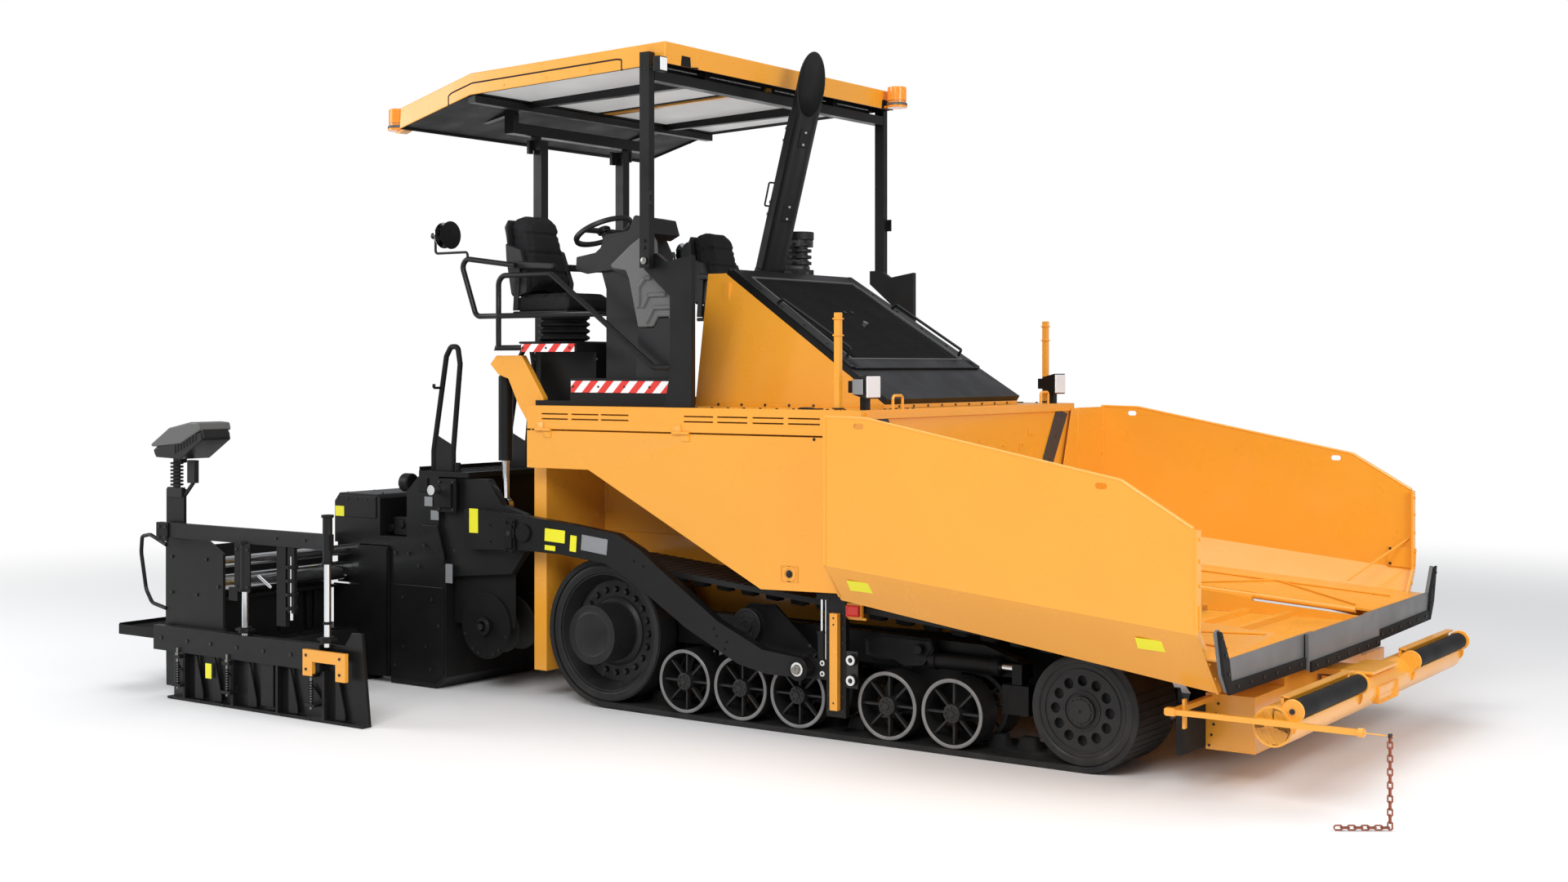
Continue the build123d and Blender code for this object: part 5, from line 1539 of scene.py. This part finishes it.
def settle(obj):
    """Apply everything on an object to its mesh."""
    graph = bpy.context.evaluated_depsgraph_get()
    mesh = bpy.data.meshes.new_from_object(obj.evaluated_get(graph), depsgraph=graph)
    obj.modifiers.clear()
    obj.data = mesh


def blown_cushion(name, outline, across):
    """One seat's cushion: a voxel skin blown up as cloth, then sewn into channels."""
    bm = bmesh.new()
    plate(bm, outline, "y", across[0], across[1])
    obj = bpy.data.objects.new(name, finished_mesh(bm, name))
    bpy.context.scene.collection.objects.link(obj)
    skin = obj.modifiers.new("Skin", "REMESH")
    skin.mode = "VOXEL"
    skin.voxel_size = SKIN_VOXEL * MM
    settle(obj)
    if name == "seat_back":
        narrow_top(obj.data.vertices)
    start = [vert.co.copy() for vert in obj.data.vertices]
    cloth = obj.modifiers.new("Cloth", "CLOTH")
    cloth.settings.use_pressure = True
    cloth.settings.uniform_pressure_force = 4
    cloth.settings.effector_weights.gravity = 0
    cloth.point_cache.frame_start = 1
    cloth.point_cache.frame_end = CLOTH_FRAMES
    for step in range(1, CLOTH_FRAMES + 1):
        bpy.context.scene.frame_set(step)
    settle(obj)
    bpy.context.scene.frame_set(1)
    for vert, place in zip(obj.data.vertices, start):
        moved = vert.co - place
        if moved.length > SWELL_LIMIT * MM:
            vert.co = place + moved.normalized() * SWELL_LIMIT * MM
    sew_channels(obj.data, *CHANNELS[name])
    bm = bmesh.new()
    bm.from_mesh(obj.data)
    bmesh.ops.subdivide_edges(bm, edges=bm.edges[:], cuts=1, smooth=0.6, use_grid_fill=True)
    bmesh.ops.smooth_vert(bm, verts=bm.verts[:], factor=0.4, use_axis_x=True, use_axis_y=True, use_axis_z=True)
    mesh = bpy.data.meshes.new(name)
    bm.to_mesh(mesh)
    bm.free()
    bpy.data.objects.remove(obj)
    return mesh


def sew_channels(mesh, axis, places):
    """Press stitched channels into a cushion's upper or front face."""
    for vert in mesh.vertices:
        along = (vert.co.x if axis == "x" else vert.co.z) / MM
        facing = vert.normal.z if axis == "x" else vert.normal.x
        if facing < 0.35:
            continue
        depth = sum(math.exp(-((along - place) / STITCH_WIDTH) ** 2) for place in places) * STITCH_DEPTH * MM
        vert.co -= vert.normal * depth


def make_cushions():
    for name, outline, across in CUSHIONS:
        mesh = blown_cushion(name, outline, across)
        for side, sign in SIDES:
            bm = bmesh.new()
            bm.from_mesh(mesh)
            if sign < 0:
                bmesh.ops.scale(bm, vec=(1, -1, 1), verts=bm.verts)
            piece = make_piece(f"{name}_{side}", finished_mesh(bm, name), "seat_cloth", "tractor", "grey_plastic",
                               angle=75)


class PAVER_OT_platform(Operator):
    """Fit seats, desk, pedals, striped strips, mirrors and bolts to the driver's platform"""
    bl_idname = "paver.platform"
    bl_label = "Driver's platform"

    def execute(self, context):
        build_both(hazard_strips, "stripe_sheet")
        build_both(seat_pans, "dark_plastic", 8)
        build_both(seat_folds, "soft_rubber", 3, slot="grey_plastic")
        shells = build_both(seat_shells, "seat_vinyl", 10, segments=3)
        build_both(seat_arms, "seat_vinyl", 14, segments=4)
        build_both(seat_brackets, "dark_plastic", 3)
        build_both(seat_levers, "dark_plastic", 2)
        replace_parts(shells, "seats")
        make_cushions()
        build(dash_cover_left, "grey_plastic", 12, segments=3)
        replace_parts(build(dash_cover_right, "grey_plastic", 12, segments=3), "dash_covers")
        build_both(dash_posts, "dark_plastic", 5)
        build(desk_side, "dark_plastic", 5, segments=3)
        build(dash_cover_ribs, "grey_plastic", 5, segments=3)
        build(console_desk, "dark_plastic", 12, segments=3)
        build(console_keys, "grey_plastic", 2)
        build(console_screen, "screen_glass", 1)
        build(pedals, "black_enamel", 3)
        build(wheel_column, "dark_plastic", 3)
        build(steering_wheel_cap, "dark_plastic", 2, body="steering_wheel")
        build(floor_ribs, "black_satin")
        build_both(platform_bolts, "dark_bolt", 0.8)
        build_both(mirror_faces, "mirror_glass")
        build_both(rail_feet, "black_enamel", 1)
        return {"FINISHED"}


ROOF_FACE = -1240
GROOVE = [(-661, 3769), (-661, 3833), (-700, 3838), (-1868, 3799), (-2045, 3752), (-2073, 3735), (-2073, 3675)]


def roof_panels(bm):
    """Two grey panels under the roof, between its frame's bars. Their finish glows: painted light standing for
    daylight shining through the panels.
    """
    plate(bm, [(-500, 3800), (-500, 3792), (-1850, 3742), (-1850, 3750)], "y", -1205, -60)


def roof_rib(bm):
    plate(bm, [(-480, 3800), (-480, 3776), (-1780, 3728), (-1850, 3740), (-1850, 3752)], "y", -30, 30)


def roof_lining(bm):
    """Dark frame strips and rear lining under the roof."""
    plate(bm, [(-1860, 3752), (-1860, 3742), (-2490, 3576), (-2490, 3586)], "y", -1220, 1220)
    for y in (-1212, -55, 55, 1212):
        plate(bm, [(-480, 3802), (-480, 3784), (-1870, 3733), (-1870, 3751)], "y", y - 10, y + 10)
    boxes(bm, (-372, -352, -1220, 1220, 3788, 3860), (-512, -500, -1220, 1220, 3738, 3840),
          (-1880, -1850, -1220, 1220, 3730, 3752))


def roof_fold_shade(bm):
    """Dark plates on the roof's front edge where it has pressed folds: painted shade in the folds."""
    for low, high in ((-1088, -1000), (1118, 1186)):
        plate(bm, [(low + 6, 3846), (high - 6, 3846), (high, 3788), (high + 70, 3796), (high + 70, 3786),
                       (low, 3786)], "x", -338, -333)


def roof_bolts(bm):
    for x in (-900, -1250, -1600):
        z = 3725 + (x - ROOF_KINK) * 0.038 + 30
        bolt(bm, (x, -1240, z), OUT, 7, 4)
    for y in (-560, 0, 560):
        for shift in (-18, 18):
            bolt(bm, (-337, y + shift, 3875), FRONT, 5, 3)


def roof_lamp(bm):
    """Work lamp beside the roof's front corner, with its arm."""
    boxes(bm, (-345, -300, -1338, -1262, 3724, 3812), (-430, -345, -1300, -1284, 3752, 3764))
    rod(bm, (-430, -1292, 3760), (-430, -1292, 3742), 12)


def roof_lamp_glass(bm):
    slab(bm, (-300, -1300, 3768), FRONT, (0, 1, 0), (62, 74, 4))


def front_post_clips(bm):
    boxes(bm, (-410, -378, -1312, -1300, 2965, 3045), (-395, -385, -1318, -1312, 2990, 3020))
    for z in (2720, 2760):
        bolt(bm, (-441, -1300, z), OUT, 10, 7)


BEACONS = ((-2600, -1160, 3560), (-255, 1180, 3790))


def beacon_collars(bm):
    for x, y, z in BEACONS:
        turned(bm, [(63, 15), (70.5, 15), (71.5, 24), (68, 32), (63, 34)], (x, y, z), UP, 40)
        ring(bm, (x, y, z + 44), UP, 61.5, 63.5, 4, 40)


def beacon_ribs(bm):
    for x, y, z in BEACONS:
        for step in range(24):
            turn = 2 * math.pi * step / 24
            spot = (x + 61.5 * math.cos(turn), y + 61.5 * math.sin(turn))
            rod(bm, (*spot, z + 50), (*spot, z + 132), 2.4, sides=6)


def beacon_foot(bm):
    plate(bm, [(-2580, 3560), (-2513, 3600), (-2513, 3557), (-2560, 3540), (-2600, 3545)], "y", -1195, -1125)


def front_post_pins(bm):
    """Heads of the front posts' lower pins."""
    for y in (-1306, 1306):
        turned(bm, [(0, 0), (21, 0), (21, 4), (10, 8), (0, 8)], (-441, y, 2645), (0, 1 if y > 0 else -1, 0), 24)


def rear_post_clips(bm):
    for y in (-468, 376):
        box(bm, (-2085, -2062), (y - 40, y), (3440, 3530))


class PAVER_OT_canopy(Operator):
    """Fit panels, painted shade of the roof's folds and groove, lamps, collars and clips to the roof and its posts"""
    bl_idname = "paver.canopy"
    bl_label = "Canopy"

    def execute(self, context):
        # the roof panels glow: painted light shining through them
        build_both(roof_panels, "glowing_roof_panel", body="canopy")
        build(roof_rib, "yellow_enamel", 3, body="canopy")
        build(roof_lining, "black_satin", 3, body="canopy")
        # dark plates at the roof's front folds: painted shade in the folds
        build(roof_fold_shade, "black_satin", body="canopy")
        build_both(roof_bolts, "yellow_enamel", 0.6, body="canopy")
        # the groove along the roof's side is a thin dark tube: painted shade in the groove
        route = [(x, ROOF_FACE + 3, z) for x, z in GROOVE]
        bent_tube("roof_groove_shade", [route], 6, "black_satin", 30, "canopy", mirrored=True)
        build(roof_lamp, "black_enamel", 6, segments=3, body="canopy")
        build(roof_lamp_glass, "lamp_lens", 2, body="canopy")
        build_both(front_post_clips, "black_enamel", 2, body="front_posts")
        build(front_post_pins, "zinc_bolt", 1, body="front_posts")
        build(beacon_collars, "grey_plastic", 1, body="canopy")
        build(beacon_ribs, "amber_lens", body="canopy")
        build(beacon_foot, "yellow_enamel", 3, body="canopy")
        build_both(rear_post_clips, "black_enamel", 2, body="rear_posts")
        return {"FINISHED"}


SCREED_SIDE = -1240


def screed_sides(bm):
    """Edge frame, lower chamfer plate and folds of the main screed's side."""
    cut_plate(bm, [(-2585, 30), (-2190, 30), (-2112, 96), (-2112, 640), (-2585, 640)], SCREED_SIDE, -1248, 30, 4)
    plate(bm, [(-2150, 830), (-2100, 790), (-2100, 850), (-2160, 1030), (-2300, 1030), (-2330, 980)], "y",
              SCREED_SIDE, -1256)
    plate(bm, [(-3112, 1050), (-2722, 1050), (-2722, 1190), (-3066, 1190), (-3108, 1140)], "y", SCREED_SIDE, -1247)


def screed_side_bolts(bm):
    side_bolts(bm, SCREED_SIDE - 8, ((-2327, 764), (-2467, 243), (-2261, 260), (-2009, 882), (-2210, 560),
                   (-2470, 560), (-2540, 120), (-2220, 120), (-2150, 400), (-2540, 840), (-2420, 840), (-2200, 960),
                   (-2130, 900), (-2280, 900)), 11, 6)
    for x in (-3080, -2990, -2900, -2810, -2745):
        bolt(bm, (x, SCREED_SIDE - 7, 1170), OUT, 7, 4)


def screed_yellow_plates(bm):
    slab(bm, (-3062, SCREED_SIDE - 7, 1085), OUT, (1, 0, 0), (84, 66, 1.6))


def screed_grey_plates(bm):
    slab(bm, (-2060, -1247, 735), OUT, (0, 0, 1), (120, 60, 1.6))
    slab(bm, (-2245, -1243, 1180), OUT, (1, 0, 0), (70, 60, 1.6))
    slab(bm, (-2190, -1243, 1095), OUT, (1, 0, 0), (70, 60, 1.6))


def trough_ends(bm):
    """Half-round end plate of the auger's trough, with its seam."""
    turned(bm, [(34, 0), (205, 0), (205, 10), (34, 10)], at(AUGER, -1180), OUT, 48)
    plate(bm, [(-2080, 420), (-1560, 420), (-1560, 880), (-2080, 880)], "y", -1178, -1170)
    box(bm, (-1802, -1798), (-1193, -1190), (216, 384))
    turned(bm, [(30, 0), (56, 0), (56, 26), (44, 40), (30, 40)], at(AUGER, -1190), OUT, 32)


def trough_bolts(bm):
    for turn in (-2.8, -2.2, -1.9, -1.2, -0.9, -0.3):
        bolt(bm, (AUGER[0] + 182 * math.cos(turn), -1190, AUGER[1] + 182 * math.sin(turn)), OUT, 9, 6)
    bolt(bm, at(AUGER, -1230), OUT, 22, 14)


def tower_plates(bm):
    """Adjusting plates, pins and cover on each tower that holds a tow arm."""
    boxes(bm, (-2150, -1990, -1262, -1240, 1120, 1330), (-2120, -2020, -1276, -1262, 1150, 1300))
    rod(bm, (-1500, -1300, 1020), (-1500, SIDE_FACE, 1020), 40, sides=32)
    box(bm, (-2330, -2250), (-1250, -1240), (1240, 1330))
    rod(bm, (-2030, -1200, 1373), (-2030, -1200, 1430), 18)


def tower_bolts(bm):
    for x in (-2130, -2010):
        for z in (1140, 1310):
            bolt(bm, (x, -1262, z), OUT, 10, 7)
    bolt(bm, (-1500, -1300, 1020), OUT, 18, 10)


def crank_ends(bm):
    """Bright ends of the thickness cranks on the walkway's front edge."""
    rod(bm, (-2130, -1278, 1260), (-2130, -1330, 1260), 26, sides=28)
    rod(bm, (-2130, -1330, 1260), (-2130, -1338, 1260), 32, sides=28)
    rod(bm, (-2090, -1160, 1300), (-2090, -1240, 1300), 16)


def walkway_treads(bm):
    """Raised bars of the walkway's footplate."""
    for row in range(4):
        for step in range(-24, 25):
            slab(bm, (-2300 + row * 100, step * 50, 1373), UP, (1, 0.7 if (row + step) % 2 else -0.7, 0), (56, 9, 4))
    box(bm, (-2335, -2325), (-1236, 1236), (1373, 1398))


def walkway_loop_webs(bm):
    """Widened flat lower parts of the walkway's hand loops."""
    for y in (-1180, -500):
        plate(bm, [(-2278, 1373), (-2070, 1373), (-2070, 1420), (-2100, 1540), (-2236, 1600), (-2262, 1560)], "y",
                  y - 5, y + 5)
    rod(bm, (-2180, -1196, 1900), (-2180, -1260, 1900), 8)
    rod(bm, (-2180, -1260, 1900), (-2180, -1260, 1925), 10)


PIPE_ROUTES = (((-1950, -739, 1100), (-1950, -739, 923), (-1950, -760, 600), (-1950, -784, 389)),
               ((-2160, -900, 1050), (-1990, -900, 1000), (-1990, -905, 700), (-2100, -905, 640)),
               ((-2160, -600, 1010), (-2020, -600, 990), (-2020, -1000, 960), (-2160, -1000, 930)))


def housing_front(bm):
    """Bolted covers, cylinders and brackets between the tower and the tube housing."""
    for x in (-2660, -2560, -2500):
        rod(bm, (x, -1180, 985 + (x + 2660) * 0.3), (x, -600, 985 + (x + 2660) * 0.3), 26)
    boxes(bm, (-2640, -2480, -1170, -1120, 945, 1060), (-2600, -2520, -900, -840, 945, 1090))
    for y in (-1050, -760, -420):
        box(bm, (-2660, -2470), (y - 12, y + 12), (945, 1010))
    turned(bm, [(0, 0), (54, 0), (60, 8), (60, 70), (54, 78), (0, 78)], (-2430, -1200, 1290), (-1, 0, 0), 32)


def housing_bolts(bm):
    for step in range(11):
        bolt(bm, (-3090, -1150 + step * 230, 1197), (-0.6, 0, 0.8), 9, 7)
        bolt(bm, (-2760, -1150 + step * 230, 1206), UP, 8, 6)
    bolt_row(bm, (-2340, -1200, 1340), (0, 218, 0), 12, (-0.6, 0, 0.8), 8, 6)


class PAVER_OT_screed(Operator):
    """Fit plates, bolts, pipes, treads and trough ends to the main screed"""
    bl_idname = "paver.screed"
    bl_label = "Main screed"

    def execute(self, context):
        build_both(screed_sides, "black_enamel", 3, body="screed")
        build_both(screed_side_bolts, "dark_bolt", 1, body="screed")
        build_both(screed_yellow_plates, "plate_yellow", 0.5, body="screed")
        build_both(screed_grey_plates, "plate_grey", 0.5, body="screed")
        build_both(trough_ends, "black_satin", 3)
        build_both(trough_bolts, "dark_bolt", 1, slot="steel")
        build_both(tower_plates, "black_satin", 3, body="screed")
        build_both(tower_bolts, "dark_bolt", 1, body="screed")
        build_both(crank_ends, "chrome_rod", 1.5, body="screed")
        build(walkway_treads, "black_satin", body="screed")
        build_both(walkway_loop_webs, "black_enamel", 2, body="screed")
        bent_tube("screed_pipes", PIPE_ROUTES, 17, "black_satin", 60, "screed", mirrored=True)
        build_both(housing_front, "black_satin", 4, body="screed")
        build(housing_bolts, "dark_bolt", 1, body="screed")
        return {"FINISHED"}


GATE_FACE = -2425


def gate_hangers(bm):
    """Spring bolts that hold the end gate's shoe, and its angle brackets."""
    for x in (-2716, -1975, -3180):
        boxes(bm, (x - 34, x + 34, GATE_FACE - 24, GATE_FACE + 30, 256, 274),
              (x - 40, x + 40, GATE_FACE - 24, GATE_FACE + 30, 84, 100))
        plate(bm, [(x - 44, 84), (x + 44, 84), (x + 44, 120), (x - 44, 210)], "y", GATE_FACE + 40, GATE_FACE + 30)
    for x in (-3050, -2880, -2560, -2400, -2200, -1800):
        plate(bm, [(x - 8, 20), (x + 70, 20), (x + 70, 60), (x + 8, 280), (x - 8, 280)], "y", GATE_FACE + 36,
                  GATE_FACE + 24)
    box(bm, (-2440, -2330), (GATE_FACE + 14, GATE_FACE + 44), (40, 290))


def gate_springs(bm):
    for x in (-2716, -1975, -3180):
        for step in range(9):
            ring(bm, (x, GATE_FACE - 10, 104 + step * 15), UP, 9, 15, 7, 20)


def gate_spring_rods(bm):
    for x in (-2716, -1975, -3180):
        rod(bm, (x, GATE_FACE - 10, 70), (x, GATE_FACE - 10, 320), 7)
        rod(bm, (x, GATE_FACE - 10, 274), (x, GATE_FACE - 10, 290), 14, sides=6)


def gate_bolts(bm):
    for x in (-3350, -3100, -2880, -2640, -2400, -2160, -1960):
        bolt(bm, (x, GATE_FACE, 365), OUT, 12, 7)
    for x in (-3260, -2980, -2760, -2500, -2250, -2000, -1720):
        bolt(bm, (x, GATE_FACE, 8), OUT, 6, 5)
    side_bolts(bm, GATE_FACE - 25, ((-2000, 380), (-1720, 380), (-2000, 300), (-1720, 290)), 9, 6)


def gate_blank_plate(bm):
    slab(bm, (-2909, GATE_FACE + 8, 200), OUT, (0, 0, 1), (90, 56, 1.6))


def gate_clamps(bm):
    """Clamps round the gate's lifting rods, with their rod eyes."""
    for x, z in ((-1873, 455), (-2590, 455)):
        ring(bm, (x, -2402, z), UP, 21, 40, 34, 28)
        box(bm, (x - 58, x + 58), (-2430, -2374), (z + 10, z + 26))
    ring(bm, (-1873, -2402, 560), UP, 20.5, 26, 16, 28)


def bar_fittings(bm):
    """Plates, collars and bolts along the extension's upper bar."""
    boxes(bm, (-3400, -3290, -2426, -2415, 960, 1075), (-2660, -2520, -2426, -2415, 700, 985))
    for x, low, high in ((-1873, 905, 1177), (-2590, 700, 985)):
        ring(bm, (x, -2402, high - 6), UP, 21, 36, 16, 28)
        ring(bm, (x, -2402, low), UP, 21, 34, 14, 28)
    boxes(bm, (-2720, -2640, -2420, -2395, 640, 720), (-2300, -2220, -2412, -2385, 520, 985),
          (-2210, -2150, -2408, -2385, 600, 985))
    for z in (620, 700, 780, 860):
        ring(bm, (-2180, -2398, z), UP, 14, 36, 18, 24)


def bar_bolts(bm):
    side_bolts(bm, -2426, ((-3370, 985), (-3370, 1050), (-3310, 985), (-3310, 1050), (-2640, 730), (-2540, 730),
                   (-2640, 950), (-2540, 950)), 9, 6)
    side_bolts(bm, -2415, ((-2300, 1030), (-2050, 1030)), 9, 6)
    side_bolts(bm, -2330, ((-3340, 860), (-3340, 640), (-3100, 640), (-3010, 860), (-2900, 700)), 10, 30)


def bar_rods(bm):
    """Bright guide rods of the extension."""
    rod(bm, (-2470, -2404, 800), (-2360, -2404, 740), 9)
    rod(bm, (-2180, -2398, 560), (-2180, -2398, 930), 11)


def step_grating(bm):
    """Raised bars and bent lip of the extension's footboard."""
    for step in range(46):
        y = -2315 + step * 26
        box(bm, (-3885, -3545), (y, y + 8), (380, 386))
    boxes(bm, (-3900, -3890, -2330, -1130, 380, 404), (-3900, -3530, -2334, -2330, 335, 396))


def extension_struts(bm):
    for x in (-3300, -3120, -2960):
        box(bm, (x, x + 14), (-2330, -1340), (318, 342))
    plate(bm, [(-3290, 335), (-3080, 335), (-3090, 560), (-3160, 600), (-3290, 600)], "y", -1500, -1484)
    plate(bm, [(-3290, 335), (-3080, 335), (-3090, 560), (-3160, 600), (-3290, 600)], "y", -2200, -2184)
    rod(bm, (-3180, -2200, 480), (-3180, -1484, 480), 30)
    rod(bm, (-3240, -2330, 900), (-3240, -1340, 880), 20)


def extension_walls(bm):
    """Inner end plate, rear wall and ribs of the extension's body."""
    plate(bm, [(-3105, 40), (-2594, 40), (-2594, 874), (-2868, 874), (-2868, 612), (-3105, 612)], "y", -1262, -1250)
    boxes(bm, (-2606, -2592, -1262, -1112, 40, 872), (-2868, -2594, -1250, -1112, 866, 873),
          (-3138, -3126, -2325, -1262, 250, 935))
    for y in (-1420, -1700, -1980, -2240):
        box(bm, (-3126, -3096), (y - 8, y + 8), (330, 620))
    box(bm, (-3126, -3060), (-2325, -1262), (588, 604))


def control_box_shell(bm):
    """Moulded top of the control box."""
    plate(bm, [(-3428, 1540), (-3150, 1566), (-2968, 1650), (-2980, 1694), (-3060, 1698), (-3260, 1660),
                   (-3436, 1556)], "y", -2440, -2200)


def control_box_body(bm):
    plate(bm, [(-3400, 1476), (-3160, 1470), (-2960, 1590), (-2972, 1640), (-3400, 1530)], "y", -2430, -2210)
    box(bm, (-3330, -3260), (-2352, -2300), (1440, 1490))
    for step in range(8):
        box(bm, (-3220 + step * 28, -3204 + step * 28), (-2436, -2424), (1500 + step * 12, 1560 + step * 12))


def control_box_keys(bm):
    for row in range(3):
        for column in range(7):
            slab(bm, (-3385 + row * 52, -2420 + column * 33, 1584 + row * 20), (-0.38, 0, 0.92), (0, 1, 0),
                     (22, 22, 5))


def control_box_stand(bm):
    """Stand, bellows and bracket under the control box."""
    for step in range(7):
        ring(bm, (-3310, -2340, 1300 + step * 22), UP, 24, 40, 12, 24)
    boxes(bm, (-3380, -3240, -2360, -2330, 1230, 1290), (-3200, -3130, -2350, -2315, 1320, 1460))
    rod(bm, (-3165, -2330, 1320), (-3240, -2335, 1240), 12)


class PAVER_OT_extensions(Operator):
    """Fit springs, clamps, plates, rods and the control box's shell to the extensions and end gates"""
    bl_idname = "paver.extensions"
    bl_label = "Extensions"

    def execute(self, context):
        build_pair(gate_hangers, "black_enamel", "end_gate", 2)
        build_pair(gate_springs, "black_satin", "end_gate")
        build_pair(gate_spring_rods, "zinc_bolt", "end_gate", 0.8)
        build_pair(gate_bolts, "dark_bolt", "end_gate", 1)
        build_pair(gate_blank_plate, "plate_yellow", "end_gate", 0.5)
        build_pair(gate_clamps, "black_satin", "end_gate", 1.5)
        build_pair(bar_fittings, "black_satin", "extension", 2)
        build_pair(bar_bolts, "dark_bolt", "extension", 1)
        build_pair(bar_rods, "chrome_rod", "extension", 1)
        build_pair(step_grating, "black_satin", "extension")
        build_pair(extension_struts, "black_satin", "extension", 2)
        build_pair(extension_walls, "black_satin", "extension", 2)
        build_pair(control_box_shell, "grey_plastic", "extension", 12, segments=3)
        build_pair(control_box_body, "dark_plastic", "extension", 6, segments=3)
        build_pair(control_box_keys, "dark_plastic", "extension", 2)
        build_pair(control_box_stand, "dark_plastic", "extension", 2)
        for side, sign in SIDES:
            loop = [(-3400, -2350, 928), (-3560, -2350, 985), (-3640, -2350, 970), (-3650, -2350, 870),
                    (-3600, -2350, 640), (-3540, -2350, 560), (-3400, -2350, 535)]
            bent_tube(f"step_handle_{side}", [[(x, y * sign, z) for x, y, z in loop]], 12, "black_enamel", 50,
                      f"extension_{side}")
        return {"FINISHED"}


# Stage

def stage_material(name, near, far):
    """Pale floor that keeps the machine's shadow and fades into the background."""
    material = bpy.data.materials.new(name)
    material.use_nodes = True
    tree = material.node_tree
    tree.nodes.clear()
    matt = add_node(tree, "BsdfDiffuse", in_Color=(0.86, 0.86, 0.86, 1))
    white = add_node(tree, "Emission", in_Color=(1, 1, 1, 1))
    place = add_node(tree, "TexCoord")
    reach = add_node(tree, "VectorMath", [(0, place.outputs["Object"])], operation="LENGTH")
    fade = add_node(tree, "MapRange", [(0, reach.outputs["Value"])], in_1=near, in_2=far,
                    interpolation_type="SMOOTHSTEP")
    path = add_node(tree, "LightPath")
    seen = maths(tree, "MAXIMUM", path.outputs["Is Camera Ray"], path.outputs["Is Glossy Ray"])
    seen_through = maths(tree, "MAXIMUM", seen, path.outputs["Is Transmission Ray"])
    share = maths(tree, "MULTIPLY", fade, seen_through)
    mix = add_node(tree, "MixShader", [(0, share), (1, matt), (2, white)])
    add_node(tree, "OutputMaterial", [("Surface", mix)])
    return material


def add_area(name, place, target, size, power):
    lamp = bpy.data.lights.new(name, "AREA")
    lamp.shape = "RECTANGLE"
    lamp.size, lamp.size_y = size
    lamp.energy = power
    obj = bpy.data.objects.new(name, lamp)
    bpy.context.scene.collection.objects.link(obj)
    obj.location = place
    obj.rotation_euler = (Vector(target) - Vector(place)).to_track_quat("-Z", "Y").to_euler()
    return obj


FLOOR_FADE = (6.0, 13.0)  # metres from the middle, from where the floor turns white to where it is white
LIGHTS = (
    # name, place and aim in metres, size in metres, power in watts
    ("key_light", (3.5, -11.0, 8.5), (0.3, 0, 1.2), (7, 5), 890),
    ("fill_light", (10.0, -2.0, 5.0), (0.5, 0, 1.0), (5, 5), 400),
    ("top_light", (-1.0, 1.0, 11.0), (-0.5, 0, 0), (9, 7), 450),
    ("rear_light", (-10.0, -6.0, 5.0), (-1.5, 0, 1.0), (5, 4), 380),
)
CAMERA_PLACE, CAMERA_HEADING, CAMERA_SHIFT = (6.434, -9.740, 2.038), 34.92, -0.0478


class PAVER_OT_stage(Operator):
    """Lay the pale floor, hang the soft lights and set the camera"""
    bl_idname = "paver.stage"
    bl_label = "Stage"

    def execute(self, context):
        bm = bmesh.new()
        bmesh.ops.create_grid(bm, x_segments=1, y_segments=1, size=60)
        mesh = bpy.data.meshes.new("studio_floor")
        bm.to_mesh(mesh)
        bm.free()
        floor = bpy.data.objects.new("studio_floor", mesh)
        context.scene.collection.objects.link(floor)
        floor.location = (0, 0, -0.002)
        mesh.materials.append(stage_material("studio_floor", *FLOOR_FADE))
        world = bpy.data.worlds.new("studio")
        context.scene.world = world
        world.use_nodes = True
        tree = world.node_tree
        tree.nodes.clear()
        sky = add_node(tree, "Background", in_Color=(0.93, 0.95, 1, 1), in_Strength=0.42)
        white = add_node(tree, "Background", in_Color=(1, 1, 1, 1))
        path = add_node(tree, "LightPath")
        seen = maths(tree, "MAXIMUM", path.outputs["Is Camera Ray"], path.outputs["Is Transmission Ray"])
        mix = add_node(tree, "MixShader", [(0, seen), (1, sky), (2, white)])
        add_node(tree, "OutputWorld", [("Surface", mix)])
        for light in LIGHTS:
            add_area(*light)
        camera = bpy.data.cameras.new("camera")
        camera.sensor_width = 36
        camera.lens = sizes().camera_lens
        camera.shift_y = CAMERA_SHIFT
        camera.clip_end = 200
        eye = bpy.data.objects.new("camera", camera)
        context.scene.collection.objects.link(eye)
        eye.location = CAMERA_PLACE
        eye.rotation_euler = (math.radians(90), 0, math.radians(CAMERA_HEADING))
        context.scene.camera = eye
        context.scene.view_settings.view_transform = "Standard"
        return {"FINISHED"}


# Panel and run

OPERATORS = [PAVER_OT_finishes, PAVER_OT_stage, PAVER_OT_shells, PAVER_OT_undercarriage, PAVER_OT_towing,
             PAVER_OT_hopper, PAVER_OT_engine, PAVER_OT_platform, PAVER_OT_canopy, PAVER_OT_screed,
             PAVER_OT_extensions]


class PAVER_PT_panel(Panel):
    """Lists the paver's colours, sizes and building steps"""
    bl_idname = "PAVER_PT_panel"
    bl_label = "Asphalt Paver"
    bl_space_type = "VIEW_3D"
    bl_region_type = "UI"
    bl_category = "Paver"

    def draw(self, context):
        for settings in (context.scene.paver_colours, context.scene.paver_sizes):
            for name in settings.bl_rna.properties.keys():
                if name not in ("name", "rna_type"):
                    self.layout.prop(settings, name)
        for step in OPERATORS:
            self.layout.operator(step.bl_idname)


CLASSES = [PaverColours, PaverSizes, *OPERATORS, PAVER_PT_panel]


def register():
    for cls in CLASSES:
        bpy.utils.register_class(cls)
    bpy.types.Scene.paver_colours = PointerProperty(type=PaverColours)
    bpy.types.Scene.paver_sizes = PointerProperty(type=PaverSizes)


def unregister():
    del bpy.types.Scene.paver_sizes
    del bpy.types.Scene.paver_colours
    for cls in reversed(CLASSES):
        bpy.utils.unregister_class(cls)


def main():
    register()
    for step in OPERATORS:
        group, name = step.bl_idname.split(".")
        getattr(getattr(bpy.ops, group), name)()


if __name__ == "__main__":
    main()
